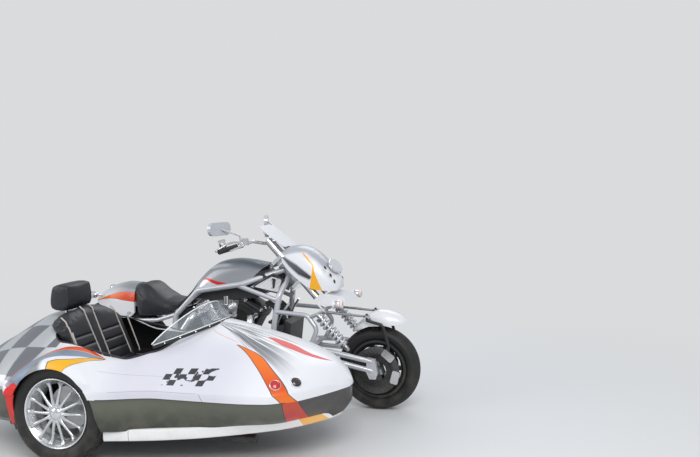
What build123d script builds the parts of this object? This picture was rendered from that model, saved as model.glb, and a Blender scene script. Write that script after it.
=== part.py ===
from build123d import *
from collections import namedtuple
import os

# Sidecar motorcycle: a raked V-twin solo machine with a leading-arm front end and a
# boat-shaped sidecar on its right. Everything is modelled from one datum, the point on the
# ground below the rear axle: +X forward, +Y to the rider's left, +Z up, in millimetres.

os.makedirs("parts", exist_ok=True)

# Driving dimensions: the three wheels
WHEELBASE = 1813.0
FRONT_R = 270.0
FRONT_W = 135.0
FRONT_RIM_R = 178.0
REAR_R = 312.0
REAR_W = 180.0
REAR_RIM_R = 216.0
SIDE_X = 368.0
SIDE_Y = -1308.0
SIDE_R = 280.0
SIDE_W = 165.0
SIDE_RIM_R = 183.0

# Driving dimensions: steering
HEAD_X = 1215.0
HEAD_Z = 878.0
KINGPIN_RAKE = 20.0
STUB_GAP = 105.0
STUB_R = 24.0

# Driving dimensions: sidecar hull
HULL_Y = -850.0
SEAM_Z = 380.0
PANEL = 6.0
NOSE_SPLIT_X = 1200.0
WELL_R = 300.0
WELL_Y = -1160.0
ARCH_R = 318.0
ARCH_Y = -1418.0
LIP_R = 250.0

# The part's origin is the bottom centre of its box, this far from the datum
ORIGIN_X = 801.5
ORIGIN_Y = -466.0
TO_ORIGIN = Location((-ORIGIN_X, -ORIGIN_Y, 0))

BEAD_SHARE = 0.74
FLANGE_H = 9.0

FRONT_AXLE = (WHEELBASE, 0, FRONT_R)
REAR_AXLE = (0, 0, REAR_R)
SIDE_AXLE = (SIDE_X, SIDE_Y, SIDE_R)


def finish(piece, node):
    """Label a sub-part, move it from the datum to the part's origin and write it."""
    piece.part.label = node
    export_step(piece.part.moved(TO_ORIGIN), f"parts/{node}.step")


def radial_plane(axle):
    """A plane through an axle: its first axis runs along the axle, its second upward."""
    return Plane(origin=axle, x_dir=(0, 1, 0), z_dir=(1, 0, 0))


def axle_axis(axle):
    """The line across the machine through an axle's centre."""
    return Axis(axle, (0, 1, 0))


def tube(points, radius, bend=40.0):
    """Sweep a round bar along straight runs joined by bends."""
    with BuildLine() as path:
        if len(points) == 2:
            Line(points[0], points[1])
        else:
            FilletPolyline(*points, radius=bend)
    with BuildSketch(Plane(origin=path.line @ 0, z_dir=path.line % 0)) as section:
        Circle(radius)
    sweep(section.sketch, path=path.line)


def clear(*others):
    """Cut other sub-parts out of the one being built, so that they meet face to face."""
    for other in others:
        add(other.part, mode=Mode.SUBTRACT)


def side_profile(points, low_y, high_y, mode=Mode.ADD):
    """Extrude a side view, given as x and z, between two distances across the machine."""
    with BuildSketch(Plane(origin=(0, high_y, 0), x_dir=(1, 0, 0), z_dir=(0, -1, 0))) as section:
        Polygon(*points, align=None)
    extrude(section.sketch, amount=high_y - low_y, mode=mode)


def bar_across(centre_x, centre_z, radius, low_y, high_y, mode=Mode.ADD):
    """A round bar lying across the machine."""
    with BuildSketch(Plane(origin=(centre_x, low_y, centre_z), x_dir=(1, 0, 0), z_dir=(0, 1, 0))) as disc:
        Circle(radius)
    extrude(disc.sketch, amount=high_y - low_y, mode=mode)


def tyre(axle, outer_r, rim_r, width, crown):
    """Revolve a tyre: straight bead, bulged wall, shoulder and crowned tread."""
    half = width / 2
    bead = half * BEAD_SHARE
    shoulder = half * 0.80
    shoulder_r = outer_r - crown
    wall_r = (rim_r + shoulder_r) / 2 + 4
    flange_r = rim_r + FLANGE_H
    with BuildSketch(radial_plane(axle)) as section:
        with BuildLine():
            Polyline((-bead, flange_r), (-bead, rim_r), (bead, rim_r), (bead, flange_r))
            ThreePointArc((bead, flange_r), (half, wall_r), (shoulder, shoulder_r))
            ThreePointArc((shoulder, shoulder_r), (0, outer_r), (-shoulder, shoulder_r))
            ThreePointArc((-shoulder, shoulder_r), (-half, wall_r), (-bead, flange_r))
        make_face()
    revolve(section.sketch, axis=axle_axis(axle))


def rim_barrel(axle, rim_r, tyre_w, depth=22.0, wall=7.0):
    """Revolve a rim: two flanges and a dropped centre between them."""
    half = tyre_w / 2 * BEAD_SHARE + wall + 0.2
    flange_r = rim_r + FLANGE_H - 0.2
    with BuildSketch(radial_plane(axle)) as section:
        with BuildLine():
            Polyline(
                (-half, flange_r), (-half + wall, flange_r), (-half + wall, rim_r - 0.3),
                (-half * 0.6, rim_r - 0.3), (-half * 0.4, rim_r - depth),
                (half * 0.4, rim_r - depth), (half * 0.6, rim_r - 0.3),
                (half - wall, rim_r - 0.3), (half - wall, flange_r), (half, flange_r),
                (half, rim_r - wall), (half * 0.62, rim_r - wall),
                (half * 0.44, rim_r - depth - wall), (-half * 0.44, rim_r - depth - wall),
                (-half * 0.62, rim_r - wall), (-half, rim_r - wall), close=True,
            )
        make_face()
    revolve(section.sketch, axis=axle_axis(axle))


def ring_across(axle, inner_r, outer_r, low_y, high_y):
    """A round ring or disc on an axle, between two distances along it."""
    with BuildSketch(radial_plane(axle)) as section:
        with BuildLine():
            Polyline(
                (low_y, inner_r), (high_y, inner_r), (high_y, outer_r), (low_y, outer_r),
                close=True,
            )
        make_face()
    revolve(section.sketch, axis=axle_axis(axle))


def spokes(axle, count, inner_r, outer_r, root_w, tip_w, face_y, depth):
    """Tapered flat spokes around an axle, their outer face at one distance along it."""
    base = Plane(origin=(axle[0], axle[1] + face_y, axle[2]), x_dir=(1, 0, 0), z_dir=(0, -1, 0))
    with BuildSketch(base) as blades:
        with PolarLocations(0, count):
            with Locations(((inner_r + outer_r) / 2, 0)):
                Trapezoid(root_w, outer_r - inner_r, 90 - 0.5 * (root_w - tip_w) / 1.6, rotation=-90)
    extrude(blades.sketch, amount=depth)


# Tyres
for node, axle, outer_r, rim_r, width, crown in (
    ("front_tyre", FRONT_AXLE, FRONT_R, FRONT_RIM_R, FRONT_W, 22.0),
    ("rear_tyre", REAR_AXLE, REAR_R, REAR_RIM_R, REAR_W, 24.0),
    ("sidecar_tyre", SIDE_AXLE, SIDE_R, SIDE_RIM_R, SIDE_W, 12.0),
):
    with BuildPart() as tyre_part:
        tyre(axle, outer_r, rim_r, width, crown)
    finish(tyre_part, node)

# Front rim: hub ring on the steering barrel, ten spokes, barrel and the brake disc
BARREL_R = 78.0
BARREL_BORE = 70.0
DISC_Y = -92.0
with BuildPart() as front_rim:
    rim_barrel(FRONT_AXLE, FRONT_RIM_R, FRONT_W)
    ring_across(FRONT_AXLE, BARREL_R + 0.5, BARREL_R + 14, -88, 80)
    spokes(FRONT_AXLE, 10, BARREL_R + 12, FRONT_RIM_R - 24, 34, 20, 14, 28)
    ring_across(FRONT_AXLE, BARREL_R + 10, 150, DISC_Y - 5, DISC_Y)
    ring_across(FRONT_AXLE, BARREL_R + 0.5, BARREL_R + 14, DISC_Y - 5, -80)
finish(front_rim, "front_rim")

# Rear rim: a dished disc wheel with the belt pulley on its left
with BuildPart() as rear_rim:
    rim_barrel(REAR_AXLE, REAR_RIM_R, REAR_W)
    ring_across(REAR_AXLE, 40, REAR_RIM_R - 24, -8, 8)
    ring_across(REAR_AXLE, 12.5, 48, -70, 104)
    ring_across(REAR_AXLE, 46, 92, 97, 104)
    ring_across(REAR_AXLE, 86, 104.5, 97, 115)
finish(rear_rim, "rear_rim")

# Sidecar rim: fourteen slim spokes, a deep barrel, a hub and its brake disc inboard
with BuildPart() as sidecar_rim:
    rim_barrel(SIDE_AXLE, SIDE_RIM_R, SIDE_W)
    spokes(SIDE_AXLE, 14, 40, SIDE_RIM_R - 4, 26, 11, -52, 16)
    ring_across(SIDE_AXLE, 12.5, 50, -66, -30)
    ring_across(SIDE_AXLE, 12.5, 34, -30, 76)
    ring_across(SIDE_AXLE, 34, 120, 60, 66)
    bar_across(SIDE_X, SIDE_R, 26, SIDE_Y - 76, SIDE_Y - 60)
finish(sidecar_rim, "sidecar_rim")

# Tubular frame: perimeter rails, cradle, head tube and seat rails
RAIL_Y = 150.0
RAIL_R = 19.0
HEAD = Vector(HEAD_X, 0, HEAD_Z)
RAKE_UP = Vector(-0.669, 0, 0.743)
RAKE_FRONT = Vector(0.743, 0, 0.669)
with BuildPart() as frame:
    tube([(400, RAIL_Y, 330), (440, RAIL_Y, 600), (610, RAIL_Y, 770), (920, RAIL_Y, 815),
          (1184, 34, 902)], RAIL_R, [60, 70, 90])
    tube([(900, RAIL_Y, 808), (1190, RAIL_Y - 30, 700)], RAIL_R - 3)
    tube([(1215, 30, 860), (1180, RAIL_Y - 15, 740), (1150, RAIL_Y, 560), (1110, RAIL_Y, 190),
          (400, RAIL_Y, 170), (400, RAIL_Y, 345)], RAIL_R, [60, 90, 90, 60])
    tube([(446, RAIL_Y, 606), (300, 140, 560), (40, 131, 545), (-110, 131, 620)], 14, [120, 90])
    mirror(about=Plane.XZ)
    tube([tuple(HEAD - RAKE_UP * 78), tuple(HEAD + RAKE_UP * 78)], 36)
    for x, z in ((400, 185), (1100, 190), (620, 772)):
        bar_across(x, z, 15, -RAIL_Y, RAIL_Y)
finish(frame, "frame")

# Engine: crankcase with clutch and alternator covers
CRANK_X = 790.0
CRANK_Z = 340.0
BORE_PLANES = [
    Plane(origin=(CRANK_X, 0, CRANK_Z), z_dir=(0, 0, 1)).rotated((0, lean, 0)) for lean in (-30, 30)
]
DECK = 120.0
with BuildPart() as crankcase:
    side_profile([(495, 250), (540, 215), (980, 215), (1050, 270), (1050, 400), (960, 450),
                  (580, 480), (500, 420)], -120, 120)
    for side in (-1, 1):
        for x, z, radius, reach in ((860, 330, 108, 165), (615, 340, 78, 150)):
            low, high = sorted((side * 110, side * reach))
            bar_across(x, z, radius, low, high)
    for bore_plane in BORE_PLANES:
        with BuildSketch(bore_plane.offset(DECK)) as deck:
            Rectangle(190, 340)
        extrude(deck.sketch, amount=260, mode=Mode.SUBTRACT)
    for x, z in ((560, 185), (1010, 188)):
        bar_across(x, z, 16, -RAIL_Y, RAIL_Y)
        side_profile([(x - 16, z), (x + 16, z), (x + 16, 240), (x - 16, 240)], -60, 60)
    clear(frame)
finish(crankcase, "engine_crankcase")

# Two finned cylinders in a V, each leaning from the crankshaft
FIN_COUNT = 11
FIN_PITCH = 14.0
with BuildPart() as cylinders:
    for bore_plane in BORE_PLANES:
        with BuildSketch(bore_plane.offset(DECK)) as core:
            RectangleRounded(110, 150, 30)
        extrude(core.sketch, amount=255)
        for level in range(FIN_COUNT):
            with BuildSketch(bore_plane.offset(150 + level * FIN_PITCH)) as fin:
                RectangleRounded(150, 200, 26)
            extrude(fin.sketch, amount=5)
        with BuildSketch(bore_plane.offset(314)) as head:
            RectangleRounded(164, 226, 24)
        extrude(head.sketch, amount=46)
        with BuildSketch(bore_plane.offset(360)) as cover:
            RectangleRounded(146, 204, 30)
        extrude(cover.sketch, amount=30)
        with BuildSketch(bore_plane.offset(390)) as bolts:
            with GridLocations(104, 80, 2, 3):
                Circle(8)
        extrude(bolts.sketch, amount=7)
    clear(frame)
finish(cylinders, "engine_cylinders")

# Intake pipes and pushrod tubes in the V, on both sides
with BuildPart() as engine_intake:
    for side in (-1, 1):
        tube([(742, side * 118, 452), (700, side * 118, 560)], 9)
        tube([(838, side * 118, 452), (880, side * 118, 560)], 9)
        tube([(790, side * 96, 450), (790, side * 96, 730)], 20)
        bar_across(790, 640, 34, *sorted((side * 60, side * 132)))
    bar_across(790, 560, 30, -96, 96)
    side_profile([(735, 600), (845, 600), (870, 700), (710, 700)], -70, 70)
    clear(crankcase, cylinders)
finish(engine_intake, "engine_intake")

# Radiator with side shrouds ahead of the down tubes
with BuildPart() as radiator:
    side_profile([(1180, 300), (1225, 300), (1258, 560), (1215, 580)], -128, 128)
    for side in (-1, 1):
        low, high = sorted((side * 118, side * 150))
        side_profile([(1120, 360), (1200, 340), (1215, 560), (1160, 540)], low, high)
    clear(frame)
finish(radiator, "radiator")

# Twin silencers, one above the other, and their pipes
with BuildPart() as exhaust:
    tube([(1000, -107, 610), (1000, -215, 610), (1060, -215, 190), (700, -215, 135),
          (330, -262, 245), (180, -262, 255)], 24, [60, 70, 90, 60])
    tube([(180, -262, 255), (-430, -262, 285)], 46)
    tube([(600, -107, 615), (600, -215, 615), (440, -262, 375), (180, -262, 362)], 24, [60, 70])
    tube([(180, -262, 362), (-430, -262, 392)], 46)
    side_profile([(-20, 300), (20, 300), (20, 350), (-20, 350)], -268, -256)
    tube([(-60, -225, 386), (-60, -150, 500), (-60, -134, 560)], 8, [30])
    side_profile([(440, 190), (480, 190), (480, 210), (440, 210)], -225, -150)
    clear(frame, crankcase, cylinders)
finish(exhaust, "exhaust")

# Cover over the airbox: a humped shell between the rails
COVER_SIDE = [(450, 640), (570, 770), (680, 900), (790, 982), (900, 1020), (1060, 990),
              (1120, 950), (925, 838), (620, 795)]
with BuildPart() as tank_cover:
    side_profile(COVER_SIDE, -125, 125)
    chamfer(tank_cover.faces().filter_by(Axis.Y).edges().filter_by(
        lambda edge: edge.center().Z > 900), 26)
finish(tank_cover, "tank_cover")

# Airbox and wiring box under the cover, between the rails
with BuildPart() as airbox:
    side_profile([(575, 712), (700, 700), (1010, 722), (1140, 790), (1150, 850), (1083, 866),
                  (1050, 900), (925, 838), (620, 795)], -108, 108)
    clear(tank_cover, frame, cylinders, engine_intake)
finish(airbox, "airbox")

with BuildPart() as battery_box:
    side_profile([(425, 350), (475, 350), (560, 560), (555, 640), (470, 640), (425, 590)], -110, 90)
    clear(frame, crankcase, cylinders, tank_cover)
finish(battery_box, "battery_box")

# Louvred panels: flat plates that close the triangle of tubes beside the head
PANEL_CORNERS = [(0, 0), (152, 88), (226, 44), (190, -54)]
LOUVRES = 6
with BuildPart() as side_panels:
    panel_plane = Plane(origin=(985, -139, 800), x_dir=(0.957, 0.29, 0), z_dir=(0.29, -0.957, 0))
    with BuildSketch(panel_plane) as panel:
        Polygon(*PANEL_CORNERS, align=None)
    extrude(panel.sketch, amount=8)
    with BuildSketch(panel_plane.offset(8)) as slats:
        with Locations((138, 18)):
            with GridLocations(0, 11, 1, LOUVRES):
                Rectangle(104, 5, rotation=8)
    extrude(slats.sketch, amount=3)
    mirror(about=Plane.XZ)
    clear(frame, airbox)
finish(side_panels, "louvred_panels")

# Seat: a deep dished saddle running up onto the cover, its skirts over the rails
with BuildPart() as rider_seat:
    side_profile([(100, 700), (104, 784), (145, 807), (208, 805), (270, 753), (350, 700), (433, 688),
                  (510, 735), (592, 826), (604, 813), (568, 771), (477, 673), (440, 640),
                  (100, 640)], -126, 126)
    side_profile([(100, 700), (104, 776), (145, 799), (208, 797), (270, 745), (350, 692), (433, 680),
                  (462, 690), (462, 662), (420, 612), (346, 588), (134, 572), (100, 630)],
                 -146, 146)
    side_profile([(60, 500), (450, 500), (462, 632), (440, 640), (100, 640), (60, 640)], -126, 126,
                 mode=Mode.SUBTRACT)
    clear(frame, tank_cover)
finish(rider_seat, "rider_seat")

# Rear fender: a channel over the wheel that ends in a short tail
FENDER_HALF = 112.0
with BuildPart() as rear_fender:
    side_profile([(99.5, 798), (-5, 806), (-86, 784), (-160, 742), (-212, 700), (-190, 660),
                  (-140, 620), (-97, 560), (60, 566), (99.5, 620)], -FENDER_HALF, FENDER_HALF)
    bar_across(-40, 590, 9, -131, 131)
    bar_across(60, 600, 9, -126, 126)
    with BuildSketch(radial_plane(REAR_AXLE)) as channel:
        with Locations((0, 180)):
            Rectangle(2 * FENDER_HALF - 12, 330)
    revolve(channel.sketch, axis=axle_axis(REAR_AXLE), mode=Mode.SUBTRACT)
    clear(frame, rider_seat)
finish(rear_fender, "rear_fender")

# Tail lamp and bullet indicators
with BuildPart() as rear_lamps:
    side_profile([(-206, 690), (-228, 700), (-216, 648), (-190, 640)], -55, 55)
    for side in (-1, 1):
        tube([(-158, side * 108, 716), (-158, side * 160, 728)], 8)
        tube([(-262, side * 168, 728), (-146, side * 168, 728)], 25)
    clear(rear_fender)
finish(rear_lamps, "rear_lamps")

# Plate bracket with two fixing holes
PLATE_X = -440.0
PLATE_Z = 480.0
PLATE_HOLES = 140.0
with BuildPart() as plate_bracket:
    side_profile([(-200, 668), (-160, 640), (PLATE_X + 4, 532), (PLATE_X + 4, 560)], -30, 30)
    with BuildSketch(Plane(origin=(PLATE_X, 0, PLATE_Z), x_dir=(0, 1, 0), z_dir=(1, 0, 0))) as plate:
        RectangleRounded(200, 170, 10)
        with GridLocations(PLATE_HOLES, 0, 2, 1):
            Circle(3.25, mode=Mode.SUBTRACT)
    extrude(plate.sketch, amount=4)
    clear(rear_fender, rear_lamps)
finish(plate_bracket, "plate_bracket")

# Rear swingarm with the axle
with BuildPart() as rear_swingarm:
    for side in (-1, 1):
        tube([(360, side * 146, 318), (0, side * 146, REAR_R)], 22)
        ring_across((0, side * 146, REAR_R), 11, 34, -16, 16)
    bar_across(360, 318, 20, -146, 146)
    bar_across(0, REAR_R, 12, -172, 172)
    clear(frame)
finish(rear_swingarm, "rear_swingarm")

# Rear shock absorbers
with BuildPart() as rear_shocks:
    for side in (-1, 1):
        lower = Vector(60, side * 184, 350)
        upper = Vector(140, side * 176, 560)
        rise = (upper - lower).normalized()
        tube([tuple(lower), tuple(upper)], 15)
        for turn in range(9):
            start = lower + rise * (18 + turn * 21)
            tube([tuple(start), tuple(start + rise * 10)], 25)
        bar_across(lower.X, 346, 10, *sorted((side * 140, side * 184)))
        bar_across(upper.X, 556, 10, *sorted((side * 124, side * 176)))
    clear(frame, rear_swingarm, rider_seat)
finish(rear_shocks, "rear_shocks")

# Drive belt round its two pulleys
with BuildPart() as drive_belt:
    for thickness, mode in ((6, Mode.ADD), (0, Mode.SUBTRACT)):
        with BuildSketch(Plane(origin=(0, 115, 0), x_dir=(1, 0, 0), z_dir=(0, -1, 0))) as loop:
            with Locations((0, REAR_R)):
                Circle(105 + thickness)
            with Locations((432, 330)):
                Circle(42 + thickness)
            make_hull()
        extrude(loop.sketch, amount=17, mode=mode)
    bar_across(432, 330, 41.8, 98, 115)
finish(drive_belt, "drive_belt")

# Forward foot controls
with BuildPart() as foot_controls:
    for side in (-1, 1):
        tube([(1125, side * RAIL_Y, 300), (1010, side * 176, 330), (1010, side * 310, 335)], 13, [20])
        tube([(1010, side * 262, 330), (1090, side * 262, 300), (1150, side * 262, 335),
              (1150, side * 315, 335)], 8, [30, 24])
    clear(frame, crankcase, exhaust)
finish(foot_controls, "foot_controls")

# Front arm: two tubes a side from the pivot to the fixed axle
ARM_Y = 196.0
ARM_TIP_Y = 176.0
ARM_R = 17.0
PIVOT_X = 1330.0
PIVOT_Z = 385.0
with BuildPart() as front_swingarm:
    for side in (-1, 1):
        tube([(PIVOT_X, side * ARM_Y, PIVOT_Z + 20), (1530, side * ARM_Y, 405),
              (WHEELBASE - 5, side * ARM_TIP_Y, 345)], ARM_R, [120])
        tube([(PIVOT_X, side * ARM_Y, PIVOT_Z - 25), (1560, side * ARM_Y, 345),
              (WHEELBASE, side * ARM_TIP_Y, 285)], ARM_R, [120])
        low, high = sorted((side * (ARM_TIP_Y - 14), side * (ARM_TIP_Y + 14)))
        side_profile([(WHEELBASE - 34, 370), (WHEELBASE + 18, 362), (WHEELBASE + 34, FRONT_R),
                      (WHEELBASE + 20, FRONT_R - 34), (WHEELBASE - 20, FRONT_R - 34),
                      (WHEELBASE - 40, FRONT_R + 10)], low, high)
    bar_across(PIVOT_X, PIVOT_Z, 28, -ARM_Y - 14, ARM_Y + 14)
    bar_across(WHEELBASE, FRONT_R, 14, -ARM_TIP_Y - 24, ARM_TIP_Y + 24)
    with Locations(FRONT_AXLE):
        Cylinder(28, 96, rotation=(0, -KINGPIN_RAKE, 0))
        Cylinder(10.5, 110, rotation=(0, -KINGPIN_RAKE, 0), mode=Mode.SUBTRACT)
finish(front_swingarm, "front_swingarm")

# Front shock absorbers: a damper inside a coil of round wire
SHOCK_FOOT = (1660, 200, 425)
SHOCK_TOP = (1465, 200, 640)
COILS = 9
with BuildPart() as front_shocks:
    shock_line = Vector(*SHOCK_TOP) - Vector(*SHOCK_FOOT)
    along = shock_line.normalized()
    for side in (-1, 1):
        foot = Vector(SHOCK_FOOT[0], side * SHOCK_FOOT[1], SHOCK_FOOT[2])
        tube([tuple(foot), tuple(foot + shock_line)], 15)
        tube([tuple(foot + along * 24), tuple(foot + along * 42)], 30)
        tube([tuple(foot + along * 252), tuple(foot + along * 276)], 30)
        for turn in range(COILS):
            start = foot + along * (54 + turn * 22)
            tube([tuple(start), tuple(start + along * 10)], 31)
    clear(front_swingarm)
finish(front_shocks, "front_shocks")

# Front loop: the tubes that carry the front arm and the shocks
with BuildPart() as front_loop:
    tube([(1165, RAIL_Y, 640), (1380, RAIL_Y + 10, 625), (1450, RAIL_Y + 20, 540),
          (1400, RAIL_Y + 20, 420), (PIVOT_X, RAIL_Y, PIVOT_Z), (1128, RAIL_Y, 300)],
         15, [60, 50, 50, 50])
    tube([(1400, RAIL_Y + 12, 612), SHOCK_TOP], 12)
    mirror(about=Plane.XZ)
    bar_across(1400, 606, 12, -RAIL_Y - 10, RAIL_Y + 10)
    clear(frame, radiator, front_swingarm, front_shocks)
finish(front_loop, "front_loop")

# Steering: fork stubs and yokes on the head tube's axis
STUB_LINE = HEAD + RAKE_FRONT * 66
with BuildPart() as fork_stubs:
    for side in (-1, 1):
        shift = Vector(0, side * STUB_GAP, 0)
        tube([tuple(STUB_LINE - RAKE_UP * 250 + shift), tuple(STUB_LINE + RAKE_UP * 245 + shift)],
             STUB_R)
    for reach in (-112, 90):
        yoke_plane = Plane(origin=tuple(HEAD + RAKE_UP * reach), x_dir=(0, 1, 0), z_dir=tuple(RAKE_UP))
        with BuildSketch(yoke_plane) as yoke:
            with Locations((0, -33)):
                RectangleRounded(2 * STUB_GAP + 70, 130, 30)
        extrude(yoke.sketch, amount=22)
finish(fork_stubs, "fork_stubs")

# Handlebar on two risers
BAR_MID = STUB_LINE + RAKE_UP * 240 - RAKE_FRONT * 30
with BuildPart() as handlebar:
    for side in (-1, 1):
        tube([(BAR_MID.X, side * 1, BAR_MID.Z), (BAR_MID.X, side * 90, BAR_MID.Z),
              (BAR_MID.X - 40, side * 210, BAR_MID.Z + 25), (BAR_MID.X - 165, side * 440, BAR_MID.Z - 20)],
             11, [30, 60])
    for side in (-1, 1):
        foot = STUB_LINE + RAKE_UP * 105 - RAKE_FRONT * 30
        tube([(foot.X, side * 45, foot.Z), (BAR_MID.X, side * 45, BAR_MID.Z)], 14)
    clear(fork_stubs)
finish(handlebar, "handlebar")

# Grips, with the levers and fluid reservoirs inboard of them
BAR_END = Vector(BAR_MID.X - 165, 440, BAR_MID.Z - 20)
BAR_ALONG = Vector(-125, 230, -45).normalized()
with BuildPart() as grips:
    tube([tuple(BAR_END - BAR_ALONG * 132), tuple(BAR_END + BAR_ALONG * 8)], 17)
    mirror(about=Plane.XZ)
    clear(handlebar)
finish(grips, "handlebar_grips")

with BuildPart() as hand_controls:
    clamp_at = BAR_END - BAR_ALONG * 160
    tube([tuple(clamp_at - BAR_ALONG * 18), tuple(clamp_at + BAR_ALONG * 18)], 19)
    tube([tuple(clamp_at), (clamp_at.X + 42, clamp_at.Y - 8, clamp_at.Z + 6),
          tuple(BAR_END + Vector(58, -22, 2))], 6, [20])
    with Locations((clamp_at.X + 30, clamp_at.Y - 16, clamp_at.Z + 22)):
        Cylinder(21, 44)
    mirror(about=Plane.XZ)
    clear(handlebar, grips)
finish(hand_controls, "hand_controls")

# Mirrors on stalks
with BuildPart() as mirrors:
    for side in (-1, 1):
        stalk = (BAR_MID.X - 85, side * 290, BAR_MID.Z + 12)
        head = (BAR_MID.X - 175, side * 398, BAR_MID.Z + 118)
        tube([stalk, (BAR_MID.X - 85, side * 310, BAR_MID.Z + 70), head], 6, [20])
        pane = Plane(origin=head, x_dir=(-side * 0.34, 0.94, 0), z_dir=(-0.94, -side * 0.34, 0))
        with BuildSketch(pane) as housing:
            RectangleRounded(180, 84, 38)
        extrude(housing.sketch, amount=26)
    clear(handlebar, hand_controls)
finish(mirrors, "mirrors")

# Fairing: a pod around the headlamp ahead of the stubs
FAIRING_SIDE = [(1188, 1034), (1215, 1060), (1320, 1072), (1395, 1040), (1480, 970), (1560, 870),
                (1572, 820), (1550, 785), (1465, 785)]
with BuildPart() as fairing:
    side_profile(FAIRING_SIDE, -150, 150)
    clear(fork_stubs)
finish(fairing, "fairing")

# Headlamp lens
with BuildPart() as headlamp:
    lamp_plane = Plane(origin=(1520, 0, 922), x_dir=(0, 1, 0), z_dir=(0.78, 0, 0.62))
    with BuildSketch(lamp_plane.offset(3)) as lens:
        Ellipse(90, 50)
    extrude(lens.sketch, amount=14)
    clear(fairing)
finish(headlamp, "headlamp")

# Small windscreen
with BuildPart() as windscreen:
    screen_plane = Plane(origin=(1218, 0, 1058), x_dir=(0, 1, 0), z_dir=(0.6, 0, 0.8))
    with BuildSketch(screen_plane) as pane:
        with Locations((0, 110)):
            RectangleRounded(240, 230, 40)
    extrude(pane.sketch, amount=4)
    clear(fairing)
finish(windscreen, "windscreen")

# Steering plate across the stubs' feet, with indicators and the rods' pins
ROD_Y = 115.0
ROD_REAR = (1485, 640)
ROD_FRONT = (1765, 622)
EYE_R = 21.0
EYE_BORE = 13.0
EYE_T = 14.0
PIN_AXIS = (-0.6045, 0.193, 0.7728)
with BuildPart() as steering_plate:
    side_profile([(1440, 690), (1500, 760), (1610, 745), (1650, 700), (1600, 690), (1500, 680)],
                 -STUB_GAP - 15, STUB_GAP + 15)
    for side in (-1, 1):
        pin = Vector(PIN_AXIS[0], side * PIN_AXIS[1], PIN_AXIS[2])
        eye = Vector(ROD_REAR[0], side * ROD_Y, ROD_REAR[1])
        tube([tuple(eye - pin * 14), tuple(eye + pin * 72)], 7)
        tube([(1580, side * 120, 715), (1600, side * 215, 712)], 8)
        tube([(1575, side * 225, 712), (1640, side * 225, 712)], 24)
    clear(fork_stubs, fairing)
finish(steering_plate, "steering_plate")

# Steering rods with an eye at each end
for side, node in ((-1, "steering_rod_right"), (1, "steering_rod_left")):
    with BuildPart() as rod:
        tube([(ROD_REAR[0] + 16, side * ROD_Y, ROD_REAR[1]),
              (ROD_FRONT[0] - 16, side * ROD_Y, ROD_FRONT[1])], 9)
        for (x, z), axis in ((ROD_REAR, (PIN_AXIS[0], side * PIN_AXIS[1], PIN_AXIS[2])),
                             (ROD_FRONT, (0, 0, 1))):
            eye_plane = Plane(origin=(x, side * ROD_Y, z), z_dir=axis)
            for radius, reach, mode in ((EYE_R, EYE_T / 2, Mode.ADD),
                                        (EYE_BORE, 1.5 * EYE_T, Mode.SUBTRACT)):
                with BuildSketch(eye_plane) as ring:
                    Circle(radius)
                extrude(ring.sketch, amount=reach, both=True, mode=mode)
    finish(rod, node)

# Wheel carrier: the steering barrel inside the hub, kingpin, hoop and caliper plate
with BuildPart() as wheel_carrier:
    ring_across(FRONT_AXLE, BARREL_BORE, BARREL_R, -112, 96)
    with Locations(FRONT_AXLE):
        Cylinder(10, 2 * BARREL_BORE + 4, rotation=(0, -KINGPIN_RAKE, 0))
    ring_across(FRONT_AXLE, BARREL_BORE, BARREL_R + 26, -112, -104)
    for side in (-1, 1):
        tube([(1880, side * 116, 352), (1905, side * 116, 430), (1866, side * 116, 568),
              (ROD_FRONT[0], side * ROD_Y, 594)], 10, [60, 40])
        tube([(ROD_FRONT[0], side * ROD_Y, 590), (ROD_FRONT[0], side * ROD_Y, 638)], 7)
        low, high = sorted((side * 104, side * 122))
        side_profile([(WHEELBASE - 10, 350), (WHEELBASE + 30, 330), (1890, 345), (1912, 420),
                      (1890, 424), (1860, 372)], low, high)
    ring_across(FRONT_AXLE, BARREL_BORE, BARREL_R + 26, 96, 106)
    bar_across(ROD_FRONT[0] + 8, 594, 9, -ROD_Y, ROD_Y)
finish(wheel_carrier, "wheel_carrier")

# Brake calipers ahead of the axle on the right
with BuildPart() as calipers:
    for angle in (50, -15):
        caliper_plane = Plane(origin=(WHEELBASE, -108, FRONT_R), x_dir=(1, 0, 0), z_dir=(0, -1, 0))
        with BuildSketch(caliper_plane) as body:
            with PolarLocations(134, 1, start_angle=angle):
                RectangleRounded(50, 84, 12)
        extrude(body.sketch, amount=18)
    clear(wheel_carrier)
finish(calipers, "brake_calipers")

# Front mudguard: a peaked shell over the wheel, open below
MUDGUARD_TOP = [(1622, 478), (1690, 566), (1760, 624), (1830, 650), (1890, 643), (1960, 620),
                (2012, 580)]
MUDGUARD_FOOT = [(1960, 560), (1840, 556), (1735, 552), (1690, 535), (1640, 474)]
MUDGUARD_HALF = 88.0
with BuildPart() as mudguard:
    side_profile(MUDGUARD_TOP + MUDGUARD_FOOT, -MUDGUARD_HALF, MUDGUARD_HALF)
    side_profile([(x, z - 4) for x, z in MUDGUARD_TOP] + [(x, z - 30) for x, z in MUDGUARD_FOOT],
                 4 - MUDGUARD_HALF, MUDGUARD_HALF - 4, mode=Mode.SUBTRACT)
    clear(wheel_carrier)
finish(mudguard, "front_mudguard")

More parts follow.
